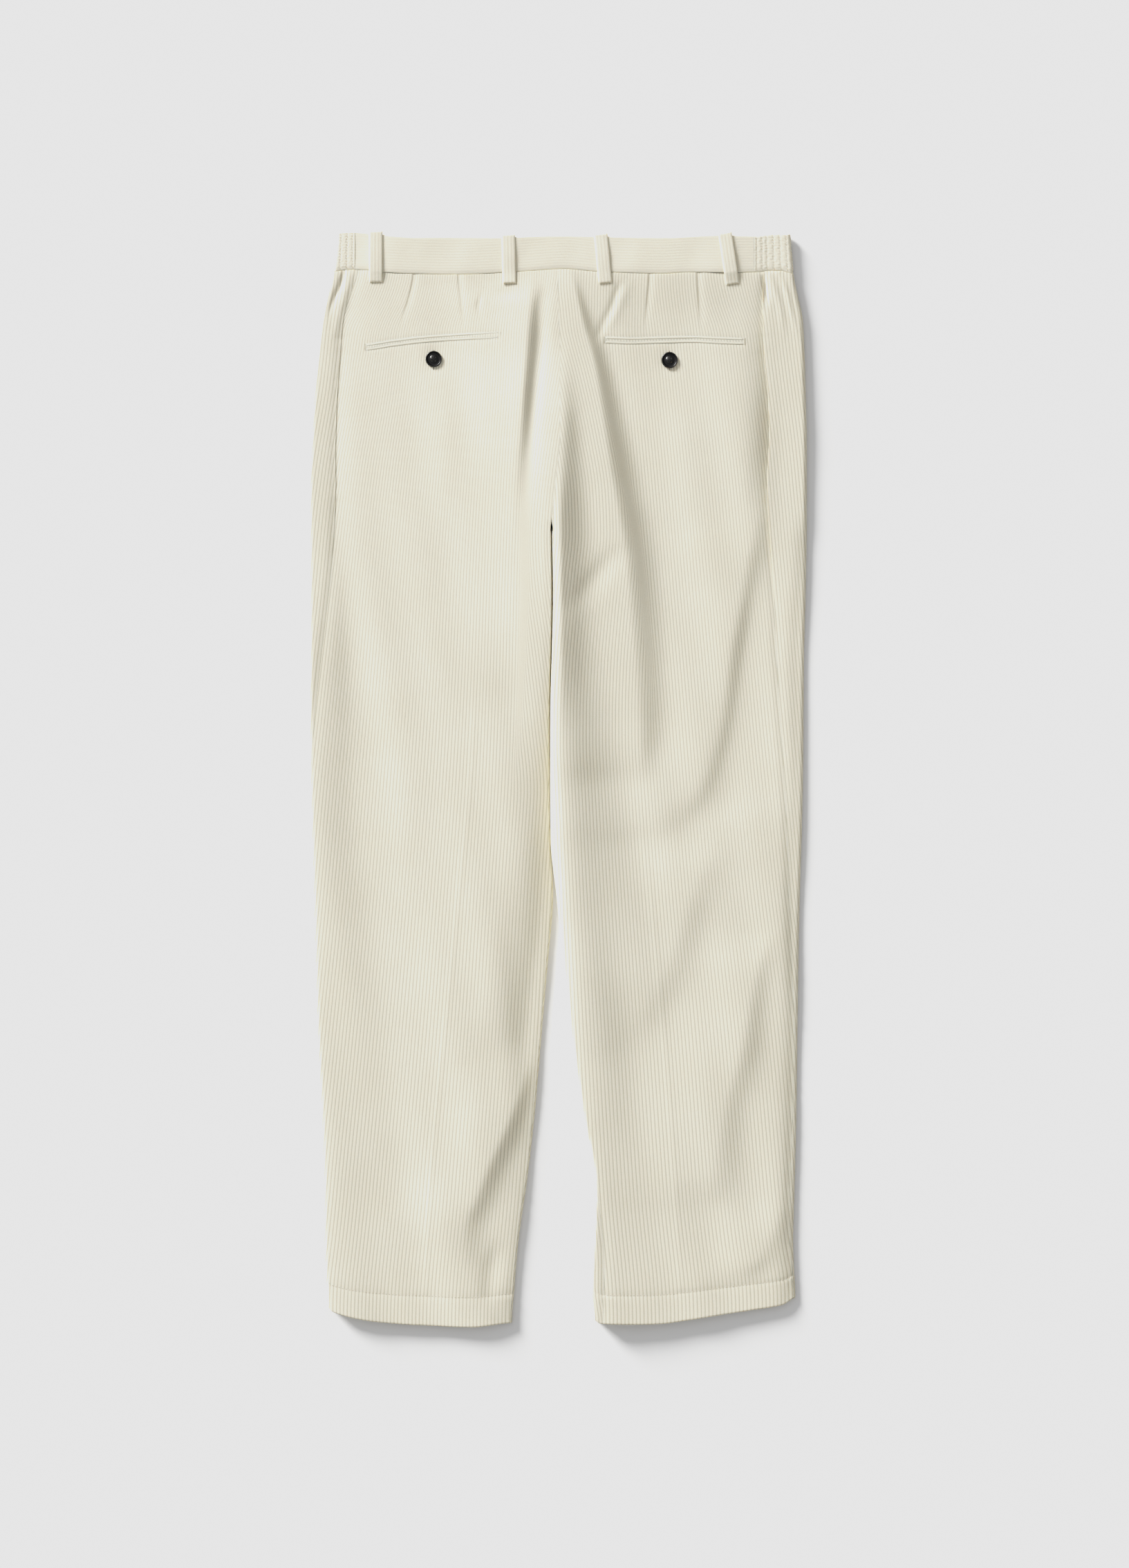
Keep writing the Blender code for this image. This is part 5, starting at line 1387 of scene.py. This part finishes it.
def button(name, x, y, seat, material):
    """A turned four-hole button."""
    profile = button_profile()
    points, faces = [], []
    for k in range(BUTTON_TURNS):
        angle = 2 * math.pi * k / BUTTON_TURNS
        points += [(r * math.cos(angle), r * math.sin(angle), h) for r, h in profile[1:-1]]
    around = len(profile) - 2
    middle, under = len(points), len(points) + 1
    points += [(0.0, 0.0, profile[0][1]), (0.0, 0.0, 0.0)]
    for k in range(BUTTON_TURNS):
        a, b = k * around, (k + 1) % BUTTON_TURNS * around
        faces.append([middle, a, b])
        faces += [[a + i, a + i + 1, b + i + 1, b + i] for i in range(around - 1)]
        faces.append([under, b + around - 1, a + around - 1])
    mesh = ribbed_mesh(name, np.array(points) + (x, y, seat), faces, np.ones(len(points)))
    made = bpy.data.objects.new(name, mesh)
    mesh.materials.append(material)
    bpy.context.scene.collection.objects.link(made)
    cutters = []
    for sx, sy in ((1, 1), (-1, 1), (-1, -1), (1, -1)):
        bpy.ops.mesh.primitive_cylinder_add(
            vertices=HOLE_SIDES, radius=THREAD_HOLE_RADIUS * MM, depth=DRILL_LENGTH * MM
        )
        cutter = bpy.context.object
        cutter.location = ((x + sx * THREAD_HOLE_OFFSET) * MM, (y + sy * THREAD_HOLE_OFFSET) * MM, seat * MM)
        cut = made.modifiers.new("hole", "BOOLEAN")
        cut.operation = "DIFFERENCE"
        cut.object = cutter
        cutters.append(cutter)
    bpy.context.view_layer.update()
    graph = bpy.context.evaluated_depsgraph_get()
    finished = bpy.data.meshes.new_from_object(made.evaluated_get(graph))
    made.modifiers.clear()
    made.data = finished
    finished.name = name
    finished.shade_smooth()
    finished.set_sharp_from_angle(angle=math.radians(BUTTON_SHARP_ANGLE))
    for cutter in cutters:
        bpy.data.objects.remove(cutter)
    return made


# ---------------------------------------------------------------- materials


def dress(node, **inputs):
    """Sets inputs of a node, named with _ for a space."""
    for name, value in inputs.items():
        node.inputs[name.replace("_", " ")].default_value = value
    return node


def node_of(tree, kind, **inputs):
    """A new node of a kind, with these inputs."""
    return dress(tree.nodes.new(kind), **inputs)


def ramp_of(tree, factor, *stops):
    """A colour ramp through (position, colour) stops."""
    made = tree.nodes.new("ShaderNodeValToRGB")
    for element, (position, colour) in zip(made.color_ramp.elements, stops):
        element.position, element.color = position, (*colour, 1)
    tree.links.new(factor, made.inputs["Fac"])
    return made.outputs["Color"]


def multiply(tree, first, second):
    """Two colours multiplied."""
    made = node_of(tree, "ShaderNodeMixRGB", Fac=1.0)
    made.blend_type = "MULTIPLY"
    tree.links.new(first, made.inputs["Color1"])
    tree.links.new(second, made.inputs["Color2"])
    return made.outputs["Color"]


def new_material(name):
    """A material, its nodes and its shader."""
    material = bpy.data.materials.new(name)
    material.use_nodes = True
    return material, material.node_tree, material.node_tree.nodes["Principled BSDF"]


def corduroy_material():
    """Cotton corduroy: pale brushed ribs, with painted shade, warmer and darker, down in the grooves, and a
    short soft pile.
    """
    material, tree, shader = new_material("cream_corduroy")
    place = tree.nodes.new("ShaderNodeTexCoord").outputs["Object"]
    rib_shade = tree.nodes.new("ShaderNodeAttribute")
    rib_shade.attribute_name = "rib_shade"
    patches = node_of(tree, "ShaderNodeTexNoise", Scale=16.0, Detail=4.0)
    fibres = node_of(tree, "ShaderNodeTexNoise", Scale=1100.0, Detail=3.0)
    # painted shade: the colour darkens and warms from the rib tops down into the grooves
    colour = ramp_of(tree, rib_shade.outputs["Fac"], (0.0, GROOVE_SHADE_COLOUR), (0.75, RIB_TOP_COLOUR))
    for noise, dark, light in ((patches, (0.35, PATCH_COLOUR), 0.65), (fibres, (0.3, FIBRE_COLOUR), 0.6)):
        tree.links.new(place, noise.inputs["Vector"])
        colour = multiply(tree, colour, ramp_of(tree, noise.outputs["Fac"], dark, (light, (1, 1, 1))))
    tree.links.new(colour, shader.inputs["Base Color"])
    bump = node_of(tree, "ShaderNodeBump", Strength=0.3, Distance=0.0003)
    tree.links.new(fibres.outputs["Fac"], bump.inputs["Height"])
    tree.links.new(bump.outputs["Normal"], shader.inputs["Normal"])
    shader.subsurface_method = "BURLEY"
    dress(shader, Subsurface_Weight=1.0, Subsurface_Radius=PILE_SCATTER, Subsurface_Scale=MM)
    dress(shader, Roughness=0.95, Specular_IOR_Level=0.1)
    dress(shader, Sheen_Weight=0.05, Sheen_Roughness=0.55, Sheen_Tint=(1.0, 0.98, 0.93, 1))
    return material


def textured(name, kind, inputs, dark, light, **finish):
    """A material whose colour follows a texture between two stops."""
    material, tree, shader = new_material(name)
    pattern = node_of(tree, kind, **inputs)
    tree.links.new(tree.nodes.new("ShaderNodeTexCoord").outputs["Object"], pattern.inputs["Vector"])
    tree.links.new(ramp_of(tree, pattern.outputs["Fac"], dark, light), shader.inputs["Base Color"])
    dress(shader, **finish)
    return material


def button_material():
    """Polished black resin, very slightly clouded."""
    dark, light = (0.3, (0.003, 0.003, 0.003)), (0.7, (0.009, 0.008, 0.008))
    clouds = {"Scale": 260.0, "Detail": 2.0}
    return textured("black_resin", "ShaderNodeTexNoise", clouds, dark, light, Roughness=0.33, IOR=1.42)


def thread_material(name, colour):
    """Twisted cotton thread."""
    dark, light = (0.2, tuple(0.8 * c for c in colour)), (0.8, colour)
    twist = {"Scale": 700.0, "Distortion": 2.0}
    return textured(name, "ShaderNodeTexWave", twist, dark, light, Roughness=0.8)


def floor_material():
    """Plain matt paper, with the faintest speckle."""
    material, tree, shader = new_material("pale_floor")
    speckle = node_of(tree, "ShaderNodeTexNoise", Scale=400.0, Detail=2.0)
    dark, light = (FLOOR_GREY - FLOOR_SPECKLE,) * 3, (FLOOR_GREY + FLOOR_SPECKLE,) * 3
    colour = ramp_of(tree, speckle.outputs["Fac"], (0.3, dark), (0.7, light))
    tree.links.new(colour, shader.inputs["Base Color"])
    dress(shader, Roughness=1.0, Specular_IOR_Level=0.0)
    return material


# ---------------------------------------------------------------- stage

FIELD_HEIGHT = 1520.0  # millimetres of the surface that the picture's height takes in
CAMERA_HEIGHT = 3000.0
CAMERA_X, CAMERA_Y = 6.4, -5.0
CAMERA_CLIP = (0.1, 20.0)  # metres
SENSOR = 36.0
RESPONSE = (  # (light, tone), both linear
    (0.0, 0.0), (0.5, 0.5), (0.716, 0.651), (0.93, 0.768), (1.1, 0.803), (1.6, 0.825), (4.0, 0.88),
)
KEY_ELEVATION = 17.0
KEY_AZIMUTH = 135.0  # of the light's source, from +X towards +Y
KEY_STRENGTH = 8.0
KEY_ANGLE = 17.0
KEY_COLOUR = (1.0, 0.995, 0.985)
AMBIENT = 0.46
SOFTBOX = 0.4  # a broad soft source high on the key's side, over the ambient light
SOFTBOX_ELEVATION = 52.0
SOFTBOX_EDGES = (0.84, 0.93)  # cosines of the angles from its middle to its outer and inner edge
FLOOR_GREY = 0.80
FLOOR_SPECKLE = 0.004
FLOOR_SIZE = 12  # metres
# painted shade in the grooves: darker and warmer than the rib tops
GROOVE_SHADE_COLOUR = (0.49, 0.447, 0.335)
RIB_TOP_COLOUR = (0.77, 0.724, 0.582)
PATCH_COLOUR = (0.965, 0.96, 0.95)  # darkest share of the rib's colour in soft patches, and in the fibres
FIBRE_COLOUR = (0.93, 0.925, 0.915)
PILE_SCATTER = (1.5, 1.15, 0.8)  # millimetres that light spreads through the pile, by colour
# cream thread, darkened and browned as painted shade of the puckered stitching
THREAD_SHADED_COLOUR = (0.62, 0.56, 0.43)
# painted shade of the buttonhole's slit
BUTTONHOLE_SHADE_COLOUR = (0.10, 0.062, 0.035)


def set_response():
    """How the camera turns light into tones: true to the floor's grey, and rolling off above it."""
    view = bpy.context.scene.view_settings
    view.view_transform = "Standard"
    view.use_curve_mapping = True
    mapping = view.curve_mapping
    mapping.clip_max_x = RESPONSE[-1][0]
    mapping.extend = "HORIZONTAL"
    points = mapping.curves[3].points
    points[0].location, points[1].location = RESPONSE[0], RESPONSE[-1]
    for place in RESPONSE[1:-1]:
        points.new(*place)
    for point in points:
        point.handle_type = "AUTO_CLAMPED"
    mapping.update()


def add_camera():
    """Straight above, with a lens that takes in the field's height."""
    data = bpy.data.cameras.new("camera")
    data.sensor_width = SENSOR
    data.sensor_fit = "AUTO"
    data.lens = SENSOR * CAMERA_HEIGHT / FIELD_HEIGHT
    data.clip_start, data.clip_end = CAMERA_CLIP
    camera = bpy.data.objects.new("camera", data)
    camera.location = (CAMERA_X * MM, CAMERA_Y * MM, CAMERA_HEIGHT * MM)
    bpy.context.scene.collection.objects.link(camera)
    bpy.context.scene.camera = camera


def add_world():
    """Even white surroundings, with one broad soft source."""
    world = bpy.data.worlds.new("studio")
    bpy.context.scene.world = world
    world.use_nodes = True
    tree = world.node_tree
    around = tree.nodes.new("ShaderNodeTexCoord").outputs["Generated"]
    towards = tree.nodes.new("ShaderNodeVectorMath")
    towards.operation = "DOT_PRODUCT"
    azimuth, elevation = math.radians(KEY_AZIMUTH), math.radians(SOFTBOX_ELEVATION)
    flat = math.cos(elevation)
    across, along = flat * math.cos(azimuth), flat * math.sin(azimuth)
    towards.inputs[1].default_value = (across, along, math.sin(elevation))
    tree.links.new(around, towards.inputs[0])
    edge, core = SOFTBOX_EDGES
    spread = node_of(
        tree, "ShaderNodeMapRange", From_Min=edge, From_Max=core, To_Min=AMBIENT, To_Max=AMBIENT + SOFTBOX
    )
    spread.interpolation_type = "SMOOTHSTEP"
    tree.links.new(towards.outputs["Value"], spread.inputs["Value"])
    tree.links.new(spread.outputs["Result"], tree.nodes["Background"].inputs["Strength"])
    tree.nodes["Background"].inputs["Color"].default_value = (1.0, 1.0, 1.0, 1)


def add_key():
    """One low key light from the upper left."""
    key = bpy.data.lights.new("key", "SUN")
    key.energy = KEY_STRENGTH
    key.angle = math.radians(KEY_ANGLE)
    key.color = KEY_COLOUR
    lamp = bpy.data.objects.new("key", key)
    lamp.rotation_euler = (0, math.radians(90 - KEY_ELEVATION), math.radians(KEY_AZIMUTH))
    bpy.context.scene.collection.objects.link(lamp)


def add_floor(material):
    """The ground that the garment lies on, which is stage and not part of it."""
    bpy.ops.mesh.primitive_plane_add(size=FLOOR_SIZE)
    floor = bpy.context.object
    floor.name = "floor"
    floor.data.materials.append(material)
    return floor


# ---------------------------------------------------------------- build


def add_piece(mesh, material, node=None):
    """A piece that rides on the one body, and stands for one of the frame's nodes if it names one."""
    mesh.materials.append(material)
    piece = bpy.data.objects.new(mesh.name, mesh)
    bpy.context.scene.collection.objects.link(piece)
    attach(piece, "root")
    if node:
        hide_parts(node)
    return piece


def declare(sheet, with_pieces=()):
    """Works out the cut of a sheet: its width and length laid flat, and its area, hems and facings included.
    Nothing is done with it.
    """
    width, length, area = sheet.cut()


def add_back_details(leg, corduroy, black, thread, dark):
    """A back panel's pocket, button, painted buttonhole shade and hem stitching. It returns the pieces."""
    made = []
    for name, side in (("upper", 1), ("lower", -1)):
        node = f"welt_{leg.side}_{name}"
        made.append(add_piece(jet(f"{node}_cloth", leg, side), corduroy, node))
    node = f"pocket_button_{leg.side}"
    x, y = BUTTONS[node]
    seat = height_at(leg, x, y) + SEAM_GAP - BUTTON_SINK
    piece = button(f"{node}_turned", x, y, seat, black)
    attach(piece, "root")
    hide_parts(node)
    made.append(piece)
    line = POCKET_LINES[leg.side]
    tacks = [*tack(leg, line[0][0] - TACK_AWAY), *tack(leg, line[-1][0] + TACK_AWAY)]
    for name, stitches, material in (
        ("hem_stitches", hem_stitches(leg), thread),
        ("pocket_tacks", tacks, thread),
        ("buttonhole_slit_shade", buttonhole_slit_shade(leg, x, y - BUTTONHOLE_DROP), dark),
    ):
        made.append(add_piece(thread_mesh(f"{name}_{leg.side}", stitches), material))
    return made


def main():
    set_response()
    add_camera()
    add_world()
    add_key()
    floor = add_floor(floor_material())
    corduroy, black = corduroy_material(), button_material()
    thread = thread_material("cream_thread", THREAD_SHADED_COLOUR)
    dark = thread_material("buttonhole_slit_shade_shade", BUTTONHOLE_SHADE_COLOUR)

    def add_cloth(mesh, node):
        return add_piece(mesh, corduroy, node)

    left, right = Leg("left"), Leg("right")
    for leg in (left, right):
        front, mesh = front_sheet(leg)
        front_piece = add_cloth(mesh, f"front_{leg.side}")
        declare(front)
        back, mesh = back_sheet(leg)
        back_piece = add_cloth(mesh, f"back_{leg.side}")
        declare(back, add_back_details(leg, corduroy, black, thread, dark))
        band, mesh = front_band(leg)
        piece = add_cloth(mesh, f"waistband_front_{leg.side}")
        node = f"belt_loop_front_{leg.side}"
        loop = add_cloth(front_loop(f"{node}_cloth", FRONT_LOOPS[node]), node)
        declare(band, [loop])
        band, mesh = elastic(leg)
        piece = add_cloth(mesh, f"waistband_elastic_{leg.side}")
        stitches = thread_mesh(f"shirring_{leg.side}", shirring_stitches(leg))
        declare(band, [add_piece(stitches, thread)])
    band, mesh = back_band()
    piece = add_cloth(mesh, "waistband_back")
    loops = []
    for node, (x, lean) in BACK_LOOPS.items():
        loops.append(add_cloth(back_loop(f"{node}_cloth", x, lean, left, right), node))
    declare(band, loops)


main()
